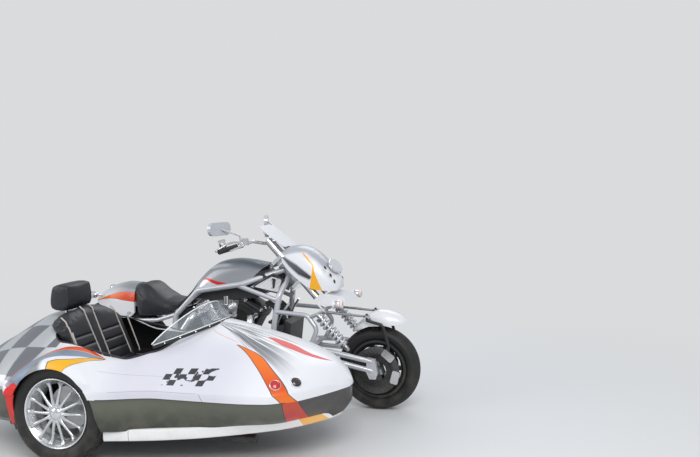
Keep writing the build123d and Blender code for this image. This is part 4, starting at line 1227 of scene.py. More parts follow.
@dataclass
class Padding:
    """Padded pieces: a closed shape is remeshed, filled by a short cloth run and sewn."""

    voxel: float = 6.0
    pressure: float = 4.0
    frames: int = 20
    most: float = 10.0
    seam_width: float = 6.0
    seam_depth: float = 6.0

    def make(self, name: str, shape: tuple[list, list], finish: Finish,
             seams: Sequence[Sequence[Point]] = ()) -> bpy.types.Object:
        """Makes one padded piece.

        Args:
            name: the piece's name.
            shape: its points and faces, a little smaller than the finished pad.
            finish: its cover.
            seams: lines where the cover is sewn down.

        Returns:
            The piece.
        """
        made = Meshes.piece(name, *shape, finish, angle=180)
        remesh = made.modifiers.new("even", "REMESH")
        remesh.mode = "VOXEL"
        remesh.voxel_size = self.voxel * MM
        Meshes.apply(made)
        places = self.places(made)
        near = self.distance(places, seams)
        self.blow(made, places, np.clip(1.4 - near / (1.6 * self.voxel * MM), 0, 1))
        soft = made.modifiers.new("soft", "SUBSURF")
        soft.levels = 1
        Meshes.apply(made)
        self.sew(made, seams)
        made.data.shade_smooth()
        made.data.materials.clear()
        made.data.materials.append(finish.material())
        return made

    @staticmethod
    def places(made: bpy.types.Object) -> np.ndarray:
        """The piece's vertices in metres."""
        flat = np.empty(len(made.data.vertices) * 3)
        made.data.vertices.foreach_get("co", flat)
        return flat.reshape(-1, 3)

    @staticmethod
    def distance(places: np.ndarray, seams: Sequence[Sequence[Point]]) -> np.ndarray:
        """Each place's distance from the nearest seam, in metres."""
        near = np.full(len(places), 9.0)
        for line in seams:
            stops = [np.array(at(*p)) for p in line]
            for start, end in zip(stops, stops[1:]):
                run = end - start
                share = np.clip((places - start) @ run / max(run @ run, 1e-12), 0, 1)
                gap = np.linalg.norm(places - start - share[:, None] * run, axis=1)
                near = np.minimum(near, gap)
        return near

    def blow(self, made: bpy.types.Object, places: np.ndarray, held: np.ndarray) -> None:
        """Fills the piece by a cloth run and keeps each point within its reach."""
        group = made.vertex_groups.new(name="sewn")
        for index in np.nonzero(held > 0.02)[0]:
            group.add([int(index)], float(held[index]), "REPLACE")
        cloth = made.modifiers.new("fill", "CLOTH")
        cloth.settings.use_pressure = True
        cloth.settings.uniform_pressure_force = self.pressure
        cloth.settings.quality = 4
        cloth.settings.effector_weights.gravity = 0.0
        cloth.settings.vertex_group_mass = "sewn"
        cloth.point_cache.frame_start = 1
        cloth.point_cache.frame_end = self.frames
        scene = bpy.context.scene
        for frame_number in range(1, self.frames + 1):
            scene.frame_set(frame_number)
        graph = bpy.context.evaluated_depsgraph_get()
        shown = made.evaluated_get(graph)
        mesh = shown.to_mesh()
        flat = np.empty(len(mesh.vertices) * 3)
        mesh.vertices.foreach_get("co", flat)
        shown.to_mesh_clear()
        made.modifiers.clear()
        made.vertex_groups.clear()
        moved = flat.reshape(-1, 3) - places
        length = np.linalg.norm(moved, axis=1)
        share = np.where(length > self.most * MM, self.most * MM / np.maximum(length, 1e-9), 1.0)
        made.data.vertices.foreach_set("co", (places + moved * share[:, None]).ravel())
        made.data.update()
        scene.frame_set(1)

    def sew(self, made: bpy.types.Object, seams: Sequence[Sequence[Point]]) -> None:
        """Presses the seams into the finished surface."""
        if not seams:
            return
        places = self.places(made)
        flat = np.empty(len(made.data.vertices) * 3)
        made.data.vertices.foreach_get("normal", flat)
        normals = flat.reshape(-1, 3)
        near = self.distance(places, seams)
        depth = self.seam_depth * MM * np.exp(-(near / (self.seam_width * MM)) ** 2)
        made.data.vertices.foreach_set("co", (places - normals * depth[:, None]).ravel())
        made.data.update()


@dataclass
class SidecarSeat:
    """The passenger's seat: a sewn backrest with pale piping, a cushion and a headrest."""

    middle: float = HULL_Y
    half: float = 282.0
    top_x: float = 262.0
    top_z: float = 772.0
    foot_z: float = 318.0
    lean: float = 0.389
    piping: float = 4.2
    # Piping: y at the top and at the foot, and the heights of both
    lines: tuple = ((-1112.0, -1112.0, 724.0, 440.0), (-931.0, -911.0, 760.0, 440.0),
                    (-846.0, -846.0, 764.0, 440.0), (-641.0, -631.0, 712.0, 450.0))
    # Cross seams: from y, to y and height
    seams: tuple = ((-1112.0, -918.0, 630.0), (-1112.0, -916.0, 576.0), (-846.0, -637.0, 626.0),
                    (-846.0, -635.0, 566.0), (-846.0, -633.0, 508.0))

    def front(self, z: float) -> float:
        """Place of the backrest's front at a height."""
        return self.top_x + (self.top_z - z) * self.lean

    def crown(self, y: float) -> float:
        """Height of the backrest's top edge at a distance across the machine."""
        return float(np.interp(y, (-1138, -1112, -1056, -917, -822, -720, -640, -562),
                               (700, 742, 764, 778, 780, 766, 734, 690)))

    def section(self, y: float) -> list[Point]:
        """The backrest's side view at one distance across the machine."""
        edge = abs(y - self.middle) / self.half
        back = 34.0 * max(0.0, (edge - 0.9) / 0.1) ** 2
        crown = self.crown(y)
        low = self.foot_z
        depth = 92.0 - 40.0 * max(0.0, (edge - 0.93) / 0.07)
        return [(self.front(low) - back, y, low), (self.front(crown - 34) - back, y, crown - 34),
                (self.front(crown) - back - 14, y, crown - 8),
                (self.front(crown) - back - 36, y, crown),
                (self.front(crown) - depth, y, crown - 12),
                (self.front(crown) - depth - 10, y, crown - 44), (self.front(low) - 60, y, low)]

    def build(self, paint: "Paints") -> None:
        """Builds the seat.

        Args:
            paint: the finishes.
        """
        across = [self.middle - self.half + 2 * self.half * k / 40 for k in range(41)]
        shape = Outline.rings([self.section(y) for y in across])
        stitched = []
        for y_top, y_low, z_top, z_low in self.lines:
            stitched.append([(self.front(z_top - 22), y_top, z_top - 22),
                             (self.front(z_low), y_low, z_low)])
        for y_from, y_to, z in self.seams:
            stitched.append([(self.front(z), y_from, z), (self.front(z), y_to, z)])
        back = Padding(voxel=7.0, most=13.0).make("sidecar_backrest", shape, paint.leather,
                                                  stitched)
        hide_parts("sidecar_seat_back")
        tree = Outline.tree(back)
        cords = []
        for y_top, y_low, z_top, z_low in self.lines:
            path = []
            for k in range(28):
                z = z_top + (z_low - z_top) * k / 27
                path.append((self.front(z) + 20, y_top + (y_low - y_top) * k / 27, z))
            laid = Outline.steady(Outline.lay(tree, path, (-1, 0, 0), self.piping * 0.5))
            over = [(laid[0].x - 30, laid[0].y, self.crown(laid[0].y) + 6)]
            cords.append(Meshes.sweep(over + laid, self.piping, 8))
        for y in (-1133.0, -567.0):
            path = [(self.front(z) + 20, y, z) for z in range(670, 440, -10)]
            laid = Outline.steady(Outline.lay(tree, path, (-1, 0, 0), self.piping * 0.4))
            cords.append(Meshes.sweep(laid, self.piping, 8))
        Meshes.piece("backrest_piping", *Meshes.join(cords), paint.piping)
        self.cushion(paint)
        self.headrest(paint)

    def cushion(self, paint: "Paints") -> None:
        """The low cushion, with two sewn lines along it."""
        side = [(452, 165), (852, 165), (872, 250), (886, 322), (856, 340), (660, 322), (452, 318)]
        shape = Outline.slab(side, self.middle - self.half, self.middle + self.half)
        stitched = []
        for y in (-1060.0, -920.0, -780.0, -640.0):
            stitched.append([(460, y, 320), (660, y, 324), (856, y, 342), (880, y, 250)])
        made = Padding(voxel=9.0, most=12.0).make("sidecar_cushion", shape, paint.leather,
                                                  stitched)
        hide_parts("sidecar_seat_cushion")

    def headrest(self, paint: "Paints") -> None:
        """The boxy headrest on its two posts, with sewn seams round its front."""
        outline = [(66, 770), (72, 884), (104, 911), (163, 911), (186, 888), (182, 770)]
        loop = Outline.curve([(p[0], 0, p[1]) for p in outline], 4, closed=True)
        sections = []
        for share, keep in ((-1.0, 0.78), (-0.94, 0.92), (-0.84, 0.985), (-0.6, 1.0), (0.0, 1.0),
                            (0.6, 1.0), (0.84, 0.985), (0.94, 0.92), (1.0, 0.78)):
            y = self.middle + 124.0 * share
            sections.append([(125 + (p.x - 125) * keep, y, 840 + (p.z - 840) * keep) for p in loop])
        shape = Outline.rings(sections)
        seam = []
        for y in (self.middle - 100.0, self.middle + 100.0):
            seam.append([(200, y, 780), (190, y, 880), (150, y, 915), (104, y, 915),
                         (66, y, 870), (62, y, 780)])
        made = Padding(voxel=5.0, most=7.0, seam_depth=4.0).make(
            "sidecar_headrest_pad", shape, paint.leather, seam)
        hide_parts("sidecar_headrest")
        posts = [Meshes.sweep([(132, self.middle + side.value * 60, 729),
                               (132, self.middle + side.value * 60, 800)], 9.0, 20)
                 for side in Side]
        Meshes.piece("headrest_posts", *Meshes.join(posts), paint.chrome)


@dataclass
class Saddle:
    """The rider's saddle: deeply dished between a high back and a nose that climbs the cover."""

    ridge: tuple = ((106, 770), (116, 793), (145, 804), (190, 806), (224, 790), (270, 751),
                    (350, 702), (433, 690), (470, 702), (510, 733), (550, 776), (588, 818))
    hem: tuple = ((106, 640), (134, 578), (240, 580), (346, 592), (420, 616), (458, 650),
                  (480, 682), (520, 722), (560, 768), (588, 806))
    roof: tuple = ((106, 660), (440, 648), (470, 684), (520, 728), (588, 808))
    half: tuple = ((106, 96), (125, 128), (160, 141), (300, 144), (400, 144), (440, 140),
                   (470, 122), (588, 112))

    @staticmethod
    def value(table: tuple, x: float) -> float:
        """Looks a value up in one of the tables."""
        return float(np.interp(x, [p[0] for p in table], [p[1] for p in table]))

    def section(self, x: float) -> list[Point]:
        """One section across the saddle, an arch with skirts."""
        top, hem = self.value(self.ridge, x), self.value(self.hem, x)
        roof, half = self.value(self.roof, x), self.value(self.half, x)
        hem = min(hem, top - 10)
        roof = min(max(roof, hem + 0.5), top - 9)
        shoulder = top - 0.28 * (top - hem)
        inner = half - 16
        outer = [(0.0, top - 3), (0.35 * half, top), (0.66 * half, top - 4),
                 (0.88 * half, top - 0.10 * (top - hem) - 4), (0.97 * half, shoulder),
                 (half, shoulder - 0.3 * (shoulder - hem)), (half - 3, hem + 4), (half - 8, hem)]
        under = [(inner, hem + 1), (inner - 3, min(roof - 1, hem + 6)), (0.6 * inner, roof),
                 (0.0, roof)]
        right = outer + under
        left = [(-u, v) for u, v in right[::-1]][1:-1]
        return [(x, u, v) for u, v in right + left]

    def build(self, paint: "Paints") -> None:
        """Builds the saddle and the seam along its edge.

        Args:
            paint: the finishes.
        """
        first, last = self.ridge[0][0], self.ridge[-1][0]
        stations = [first + (last - first) * k / 60 for k in range(61)]
        shape = Outline.rings([self.section(x) for x in stations])
        seams = []
        for side in Side:
            seams.append([(x, side.value * 0.93 * self.value(self.half, x),
                           self.value(self.ridge, x) - 0.16 * (self.value(self.ridge, x)
                                                               - self.value(self.hem, x)))
                          for x in range(130, 590, 20)])
        made = Padding(voxel=6.5, most=8.0, seam_depth=3.5, seam_width=4.0).make(
            "rider_saddle", shape, paint.leather, seams)
        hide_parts("rider_seat")


@dataclass
class Tyre:
    """A tyre with bulged walls, a moulded rim guard and a cut tread."""

    node: str
    body: str
    axle: tuple[float, float, float]
    outer: float
    rim: float
    width: float
    crown: float
    blocks: int = 60
    grooves: tuple = (-0.34, 0.0, 0.34)
    skew: float = 0.5
    depth: float = 5.0

    def profile(self) -> list[tuple[float, float, bool]]:
        """The outline as distance along the axle, radius and whether it is tread."""
        half = self.width / 2
        bead, shoulder = half * 0.74, half * 0.80
        shoulder_r = self.outer - self.crown
        flange_r = self.rim + 9
        side = [(bead, flange_r - 8), (bead, flange_r)]
        for k in range(1, 13):
            t = k / 13
            bulge = math.sin(math.pi * t) ** 0.8
            reach = (bead + (shoulder - bead) * t) + (half - 0.5 * (bead + shoulder)) * bulge
            radius = flange_r + (shoulder_r - flange_r) * t
            if k in (3, 9):
                reach += 1.4
            side.append((reach, radius))
        sag = []
        tread_steps = 40
        for k in range(tread_steps + 1):
            u = shoulder * (1 - 2 * k / tread_steps)
            sag.append((u, shoulder_r + self.crown * (1 - (u / shoulder) ** 2)))
        out = [(u, r, False) for u, r in side]
        out += [(u, r, True) for u, r in sag]
        out += [(-u, r, False) for u, r in side[::-1]]
        out += [(-bead, self.rim, False), (bead, self.rim, False)]
        return out

    def build(self, paint: "Paints") -> None:
        """Builds the tyre.

        Args:
            paint: the finishes.
        """
        half = self.width * 0.4
        outline = self.profile()
        rows = []
        for segment in range(self.blocks * 6):
            turn = 2 * math.pi * segment / (self.blocks * 6)
            row = []
            for along, radius, tread in outline:
                share = along / half
                cut = any(abs(share - g) < 0.045 for g in self.grooves)
                phase = (segment / 6 + abs(share) * self.skew * 3) % 1.0
                cross = phase < 0.20 and abs(share) > 0.16
                if tread and (cut or cross) and abs(share) < 0.985:
                    radius -= self.depth
                row.append(Meshes.polar(self.axle, along, radius, turn))
            rows.append(row)
        made = Meshes.piece(f"{self.node}_treaded", *Outline.rings(rows, loop=True), paint.tyre,
                            self.body, 30)
        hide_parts(self.node)


@dataclass
class Wheels:
    """The sidecar's cast wheel and the details of the two machine wheels."""

    spoke_count: int = 14
    rim_r: float = 183.0
    half: float = 68.0

    def sidecar(self, paint: "Paints") -> None:
        """The fourteen-spoke wheel with its lip, hub, cap, bolts and brake disc."""
        lip = self.rim_r + 9
        h = self.half
        barrel = [(-h - 1, lip), (-h - 2, lip - 4), (-h, lip - 8), (-h + 8, lip - 10),
                  (-h + 12, self.rim_r - 9), (-h + 22, self.rim_r - 12), (-h + 34, self.rim_r - 24),
                  (-h + 50, self.rim_r - 30), (h - 30, self.rim_r - 30), (h - 16, self.rim_r - 10),
                  (h, self.rim_r - 7), (h, lip), (h - 6, lip), (h - 6, self.rim_r - 1),
                  (h - 26, self.rim_r - 4), (h - 34, self.rim_r - 22), (-h + 34, self.rim_r - 22),
                  (-h + 24, self.rim_r - 3), (-h + 6, self.rim_r - 1), (-h + 6, lip)]
        made = Meshes.piece("sidecar_wheel_barrel", *Meshes.lathe(SIDE_AXLE, barrel, 96),
                            paint.rim, "sidecar_wheel", 50)
        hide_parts("sidecar_rim")
        bright = [(-h - 2.6, lip + 0.6), (-h - 4.6, lip - 2.5), (-h - 2.8, lip - 6.5),
                  (-h + 1, lip - 7), (-h + 1, lip + 0.6)]
        Meshes.piece("sidecar_wheel_lip", *Meshes.lathe(SIDE_AXLE, bright, 96), paint.bright_rim,
                     "sidecar_wheel", 70)
        hub = [(-66, 16), (-68, 44), (-62, 50), (-50, 54), (-30, 52), (-24, 36), (74, 34), (74, 16)]
        Meshes.piece("sidecar_wheel_hub", *Meshes.lathe(SIDE_AXLE, hub, 48), paint.rim,
                     "sidecar_wheel", 40)
        disc = [(60, 34), (60, 120), (66, 120), (66, 34)]
        Meshes.piece("sidecar_brake_disc", *Meshes.lathe(SIDE_AXLE, disc, 64), paint.steel,
                     "sidecar_wheel", 40)
        cap = [(-66, 2), (-80, 2), (-79, 12), (-76, 22), (-71, 30), (-66, 34), (-60, 35), (-60, 2)]
        Meshes.piece("sidecar_wheel_cap", *Meshes.lathe(SIDE_AXLE, cap, 48), paint.chrome,
                     "sidecar_wheel", 50)
        x, y, z = SIDE_AXLE
        path = [(x + r, y + along, z) for r, along in
                ((38, -58), (60, -62), (90, -61), (120, -58), (146, -56), (160, -58), (170, -60))]
        radii = [12.5, 9.5, 7.8, 7.2, 8.0, 11.0, 15.0]
        spoke = Meshes.piece("sidecar_wheel_spokes", *Meshes.sweep(path, radii, 14), paint.rim,
                             "sidecar_wheel", 60)
        Repeat.ring(spoke, self.spoke_count, SIDE_AXLE, paint.rim)
        bolt = Meshes.piece("sidecar_wheel_bolts",
                            *Meshes.sweep([(x + 43, y - 66, z), (x + 43, y - 74, z)], 6.0, 6),
                            paint.chrome, "sidecar_wheel", 30)
        Repeat.ring(bolt, 5, SIDE_AXLE, paint.chrome)

    def disc(self, paint: "Paints", name: str, body: str, axle: Point, face: float, inner: float,
             outer: float, holes: int) -> None:
        """A drilled brake disc whose holes read as dark dimples."""
        ring = [(face, inner), (face, outer - 1), (face - 0.6, outer), (face - 5, outer),
                (face - 5.8, outer - 1), (face - 5.8, inner)]
        # The disc's steel is darkened as painted shade of the front wheel's interior
        Meshes.piece(name, *Meshes.lathe(axle, ring, 96), paint.shaded_steel, body, 40)
        for row, share in enumerate((0.3, 0.55, 0.8)):
            radius = inner + (outer - inner) * share
            turn = row * 2 * math.pi / holes / 3
            px, pz = axle[0] + radius * math.cos(turn), axle[2] + radius * math.sin(turn)
            hole = Meshes.piece(f"{name}_holes_{row + 1}",
                                *Meshes.sweep([(px, axle[1] + face + 0.3, pz),
                                               (px, axle[1] + face - 6.1, pz)], 3.6, 12),
                                paint.liner, body, 40)
            Repeat.ring(hole, holes, axle, paint.liner)

    def build(self, paint: "Paints") -> None:
        """Builds tyres, the sidecar wheel and the discs.

        Args:
            paint: the finishes.
        """
        for tyre in (Tyre("front_tyre", "front_wheel", FRONT_AXLE, 270, 178, 135, 22, 54,
                          (0.0,), 0.9, 6.0),
                     Tyre("rear_tyre", "rear_wheel", REAR_AXLE, 312, 216, 180, 24, 44,
                          (-0.12, 0.12), 0.9, 6.0),
                     Tyre("sidecar_tyre", "sidecar_wheel", SIDE_AXLE, 280, 183, 165, 12, 64,
                          (-0.55, -0.2, 0.2, 0.55), 0.25, 6.0)):
            tyre.build(paint)
        self.sidecar(paint)
        self.disc(paint, "front_brake_disc", "front_wheel", FRONT_AXLE, -91.5, 96, 151, 30)


@dataclass
class Cylinder:
    """One of the two finned cylinders of the V, built on its bore line."""

    name: str
    lean: float
    finish: Finish
    head: Finish
    root: tuple[float, float, float] = (790.0, 0.0, 340.0)
    fins: int = 21
    pitch: float = 7.6

    def place(self, u: float, y: float, level: float) -> Vector:
        """A point by its distance across the V, across the machine and along the bore."""
        turn = math.radians(self.lean)
        return Vector((self.root[0] + u * math.cos(turn) + level * math.sin(turn), y,
                       self.root[2] - u * math.sin(turn) + level * math.cos(turn)))

    def plate(self, width: float, depth: float, low: float, high: float, corner: float,
              soft: float = 0.0) -> tuple[list, list]:
        """A rounded plate across the bore, its rims eased by a small step."""
        loop = []
        for cx, cy, start in ((1, 1, 0), (-1, 1, 90), (-1, -1, 180), (1, -1, 270)):
            for k in range(7):
                turn = math.radians(start + 90 * k / 6)
                loop.append((cx * (width / 2 - corner) + corner * math.cos(turn),
                             cy * (depth / 2 - corner) + corner * math.sin(turn)))
        levels = [(low, soft), (low + soft, 0.0), (high - soft, 0.0), (high, soft)] if soft else [
            (low, 0.0), (high, 0.0)]
        sections = [[self.place(u * (1 - 2 * inset / width), v * (1 - 2 * inset / depth), level)
                     for u, v in loop] for level, inset in levels]
        return Outline.rings(sections)

    def build(self, paint: "Paints") -> None:
        """Builds barrel, fins, head, cover and bolts.

        Args:
            paint: the finishes.
        """
        barrel = self.plate(110, 150, 120, 320, 40)
        Meshes.piece(f"{self.name}_barrel", *barrel, self.finish)
        fin = Meshes.piece(f"{self.name}_fins", *self.plate(150, 200, 150, 153.4, 26, 0.8),
                           self.finish, angle=60)
        turn = math.radians(self.lean)
        step = Vector((math.sin(turn), 0, math.cos(turn))) * self.pitch * MM
        Repeat.run(fin, Repeat.along_line(), Count=self.fins, Step=step,
                   Material=self.finish.material())
        parts = [self.plate(160, 222, 314, 322, 24, 1.5), self.plate(150, 212, 322, 345, 26, 1.0)]
        for k in range(3):
            parts.append(self.plate(164, 226, 326 + k * 8, 330 + k * 8, 24, 1.0))
        parts.append(self.plate(164, 226, 350, 360, 24, 2.0))
        Meshes.piece(f"{self.name}_head", *Meshes.join(parts), self.head, angle=50)
        cover = Meshes.piece(f"{self.name}_cover", *Meshes.join([
            self.plate(146, 204, 360, 384, 30, 3.0), self.plate(120, 176, 384, 391, 26, 2.5)]),
            self.head, angle=50)
        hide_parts("engine_cylinders")
        bolts = []
        for u in (-62.0, 62.0):
            for v in (-88.0, -30.0, 30.0, 88.0):
                bolts.append(Meshes.sweep([self.place(u, v, 372), self.place(u, v, 393)], 7.5, 6))
                bolts.append(Meshes.sweep([self.place(u, v, 370), self.place(u, v, 387)], 10.0, 20))
        Meshes.piece(f"{self.name}_bolts", *Meshes.join(bolts), paint.chrome, angle=30)


@dataclass
class Engine:
    """The V-twin's dressing: two cylinders and covers with their screws."""

    def build(self, paint: "Paints") -> None:
        """Builds the engine's pieces.

        Args:
            paint: the finishes.
        """
        Cylinder("rear_cylinder", -30.0, paint.alloy_bright, paint.alloy_bright).build(paint)
        Cylinder("front_cylinder", 30.0, paint.engine, paint.engine).build(paint)
        for side in Side:
            sign = side.value
            for x, z, radius, face in ((860, 330, 108, 165), (615, 340, 78, 150)):
                profile = [(sign * (face - 30), radius + 1.5), (sign * (face - 8), radius + 1.5),
                           (sign * (face + 1), radius - 6), (sign * (face + 3), radius - 22),
                           (sign * (face + 1), radius - 30), (sign * (face + 1.5), 12),
                           (sign * (face - 30), 12)]
                name = f"cover_{side.name.lower()}_{x}"
                Meshes.piece(name, *Meshes.lathe((x, 0, z), profile, 64), paint.engine, angle=40)
                bolt = Meshes.piece(f"{name}_screws",
                                    *Meshes.sweep([(x + radius - 13, sign * (face - 4), z),
                                                   (x + radius - 13, sign * (face + 5), z)], 4.5,
                                                  10), paint.chrome, angle=40)
                Repeat.ring(bolt, 8, (x, 0, z), paint.chrome)


class BodyPaint:
    """Artwork on the machine's own panels."""

    GREY = (0.24, 0.25, 0.27)
    PALE = (0.62, 0.63, 0.65)
    WHITE = (0.78, 0.78, 0.80)
    SLATE = (0.045, 0.065, 0.095)

    @classmethod
    def tank(cls, work: Tree) -> Socket:
        """Grey cover with a slate crest, a painted highlight below it, a red flash and a white
        foot.
        """
        coord, x, y, z = work.object_mm()
        drift = work.noise(5.0, 3.0, coord)
        crest = work.profile(x, ((560, 850), (700, 935), (820, 950), (1100, 905)))
        shade = work.ramp(work.plus(work.minus(z, crest), work.times(drift, 40.0)), -4.0, 34.0)
        shade = work.both(shade, work.ramp(x, 640.0, 800.0))
        colour = work.mix(work.ramp(z, 960.0, 780.0), cls.GREY, (0.42, 0.43, 0.45))
        colour = work.mix(work.both(shade, 0.85), colour, cls.SLATE)
        # Painted highlight: a pale band just below the crest
        glint = work.both(work.band(z, work.minus(crest, 30.0), crest, 10.0),
                          work.ramp(x, 860.0, 780.0), work.ramp(x, 640.0, 700.0))
        colour = work.mix(work.times(glint, 0.7), colour, cls.PALE)
        side = work.ramp(work.math("ABSOLUTE", y), 70.0, 72.0, False)
        high = work.profile(x, ((636, 848), (660, 850), (699, 843), (735, 832), (800, 821),
                                (860, 814)))
        low = work.profile(x, ((636, 846), (660, 838), (713, 815), (771, 804), (860, 812)))
        foot = work.profile(x, ((560, 720), (600, 770), (636, 836), (660, 838), (713, 815),
                                (771, 804), (862, 806)))
        white = work.both(side, work.ramp(work.minus(foot, z), 0.0, 2.0, False),
                          work.ramp(x, 870.0, 862.0, False))
        colour = work.mix(white, colour, cls.WHITE)
        red = work.both(side, work.band(z, low, high), work.band(x, 636.0, 862.0))
        return work.mix(red, colour, HullPaint.RED)

    @classmethod
    def fender(cls, work: Tree) -> Socket:
        """Rear fender: grey back, an orange band and a white side."""
        _, x, y, z = work.object_mm()
        high = work.profile(x, ((-230, 672), (-137, 704), (-72, 727), (23, 744), (100, 738)))
        low = work.profile(x, ((-230, 668), (-122, 690), (-74, 694), (4, 684), (100, 674)))
        side = work.ramp(work.math("ABSOLUTE", y), 60.0, 62.0, False)
        colour = work.mix(work.ramp(x, 80.0, -180.0), cls.GREY, cls.PALE)
        white = work.both(side, work.ramp(work.minus(low, z), 0.0, 2.0, False))
        colour = work.mix(white, colour, cls.WHITE)
        band = work.both(side, work.band(z, low, high))
        tone = work.mix(work.ramp(x, -120.0, 60.0), HullPaint.AMBER, HullPaint.ORANGE)
        return work.mix(band, colour, tone)

    @classmethod
    def pod(cls, work: Tree) -> Socket:
        """Lamp pod: pearl with a grey brow, a dark vent and a yellow flash."""
        _, x, y, z = work.object_mm()
        side = work.ramp(work.math("ABSOLUTE", y), 60.0, 62.0, False)
        brow = work.profile(x, ((1180, 985), (1261, 1008), (1329, 1016), (1400, 985), (1480, 915)))
        over = work.ramp(work.minus(z, brow), 0.0, 20.0)
        colour = work.mix(work.times(over, 0.8), cls.WHITE, (0.36, 0.37, 0.42))
        high = work.profile(x, ((1200, 1010), (1312, 946), (1410, 872)), False)
        low = work.profile(x, ((1204, 1004), (1264, 940), (1324, 888), (1396, 856), (1410, 868)),
                           False)
        vent = work.both(side, work.band(z, low, high), work.band(x, 1204.0, 1408.0))
        rim = work.both(side, work.band(z, work.minus(low, 9.0), work.plus(high, 9.0)),
                        work.band(x, 1194.0, 1426.0))
        colour = work.mix(rim, colour, (0.45, 0.46, 0.49))
        colour = work.mix(vent, colour, work.mix(work.ramp(z, 960.0, 840.0), (0.10, 0.10, 0.11),
                                                 (0.02, 0.02, 0.022)))
        left = work.profile(z, ((792, 1396), (844, 1404), (915, 1412), (980, 1374), (1025, 1334)))
        right = work.profile(z, ((792, 1477), (851, 1450), (903, 1430), (941, 1421), (986, 1386),
                                 (1025, 1341)))
        flash = work.both(side, work.band(x, left, right), work.band(z, 770.0, 1026.0))
        return work.mix(flash, colour, (0.90, 0.42, 0.01))

    @classmethod
    def guard(cls, work: Tree) -> Socket:
        """Front mudguard: white, greyer towards the rear."""
        _, x, _, _ = work.object_mm()
        tone = work.ramp(x, 1760.0, 1690.0)
        return work.mix(work.times(tone, 0.6), cls.WHITE, (0.34, 0.35, 0.37))

    @classmethod
    def panel(cls, work: Tree) -> Socket:
        """Triangle plate behind the slats, darker towards its upper front."""
        _, x, _, z = work.object_mm()
        slope = work.scaled(work.minus(x, 1000.0), 0.35, z)
        return work.mix(work.ramp(slope, 850.0, 905.0), (0.42, 0.43, 0.46), (0.03, 0.03, 0.035))


@dataclass
class Shell:
    """A body panel lofted through humped sections along the machine."""

    name: str
    nodes: tuple[str, ...]
    finish: Finish
    # Place, half width, foot and crest of each section
    sections: tuple
    body: str = "chassis"
    fullness: float = 2.6
    steps: int = 5
    around: int = 28

    def ring(self, x: float, half: float, low: float, high: float) -> list[Point]:
        """One closed section."""
        out = []
        power = 2 / self.fullness
        for k in range(self.around + 1):
            turn = math.pi * k / self.around
            c, s = math.cos(turn), math.sin(turn)
            out.append((x, half * math.copysign(abs(c) ** power, c), low + (high - low)
                        * abs(s) ** power))
        return out + [(x, half * (-1 + 2 * k / 6), low) for k in range(1, 6)]

    def build(self) -> bpy.types.Object:
        """Builds the panel.

        Returns:
            The piece.
        """
        dense = Outline.curve(self.sections, self.steps)
        rings = [self.ring(p[0], p[1], p[2], max(p[3], p[2] + 1.0)) for p in dense]
        made = Meshes.piece(self.name, *Outline.rings(rings), self.finish, self.body, 50)
        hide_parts(*self.nodes)
        return made


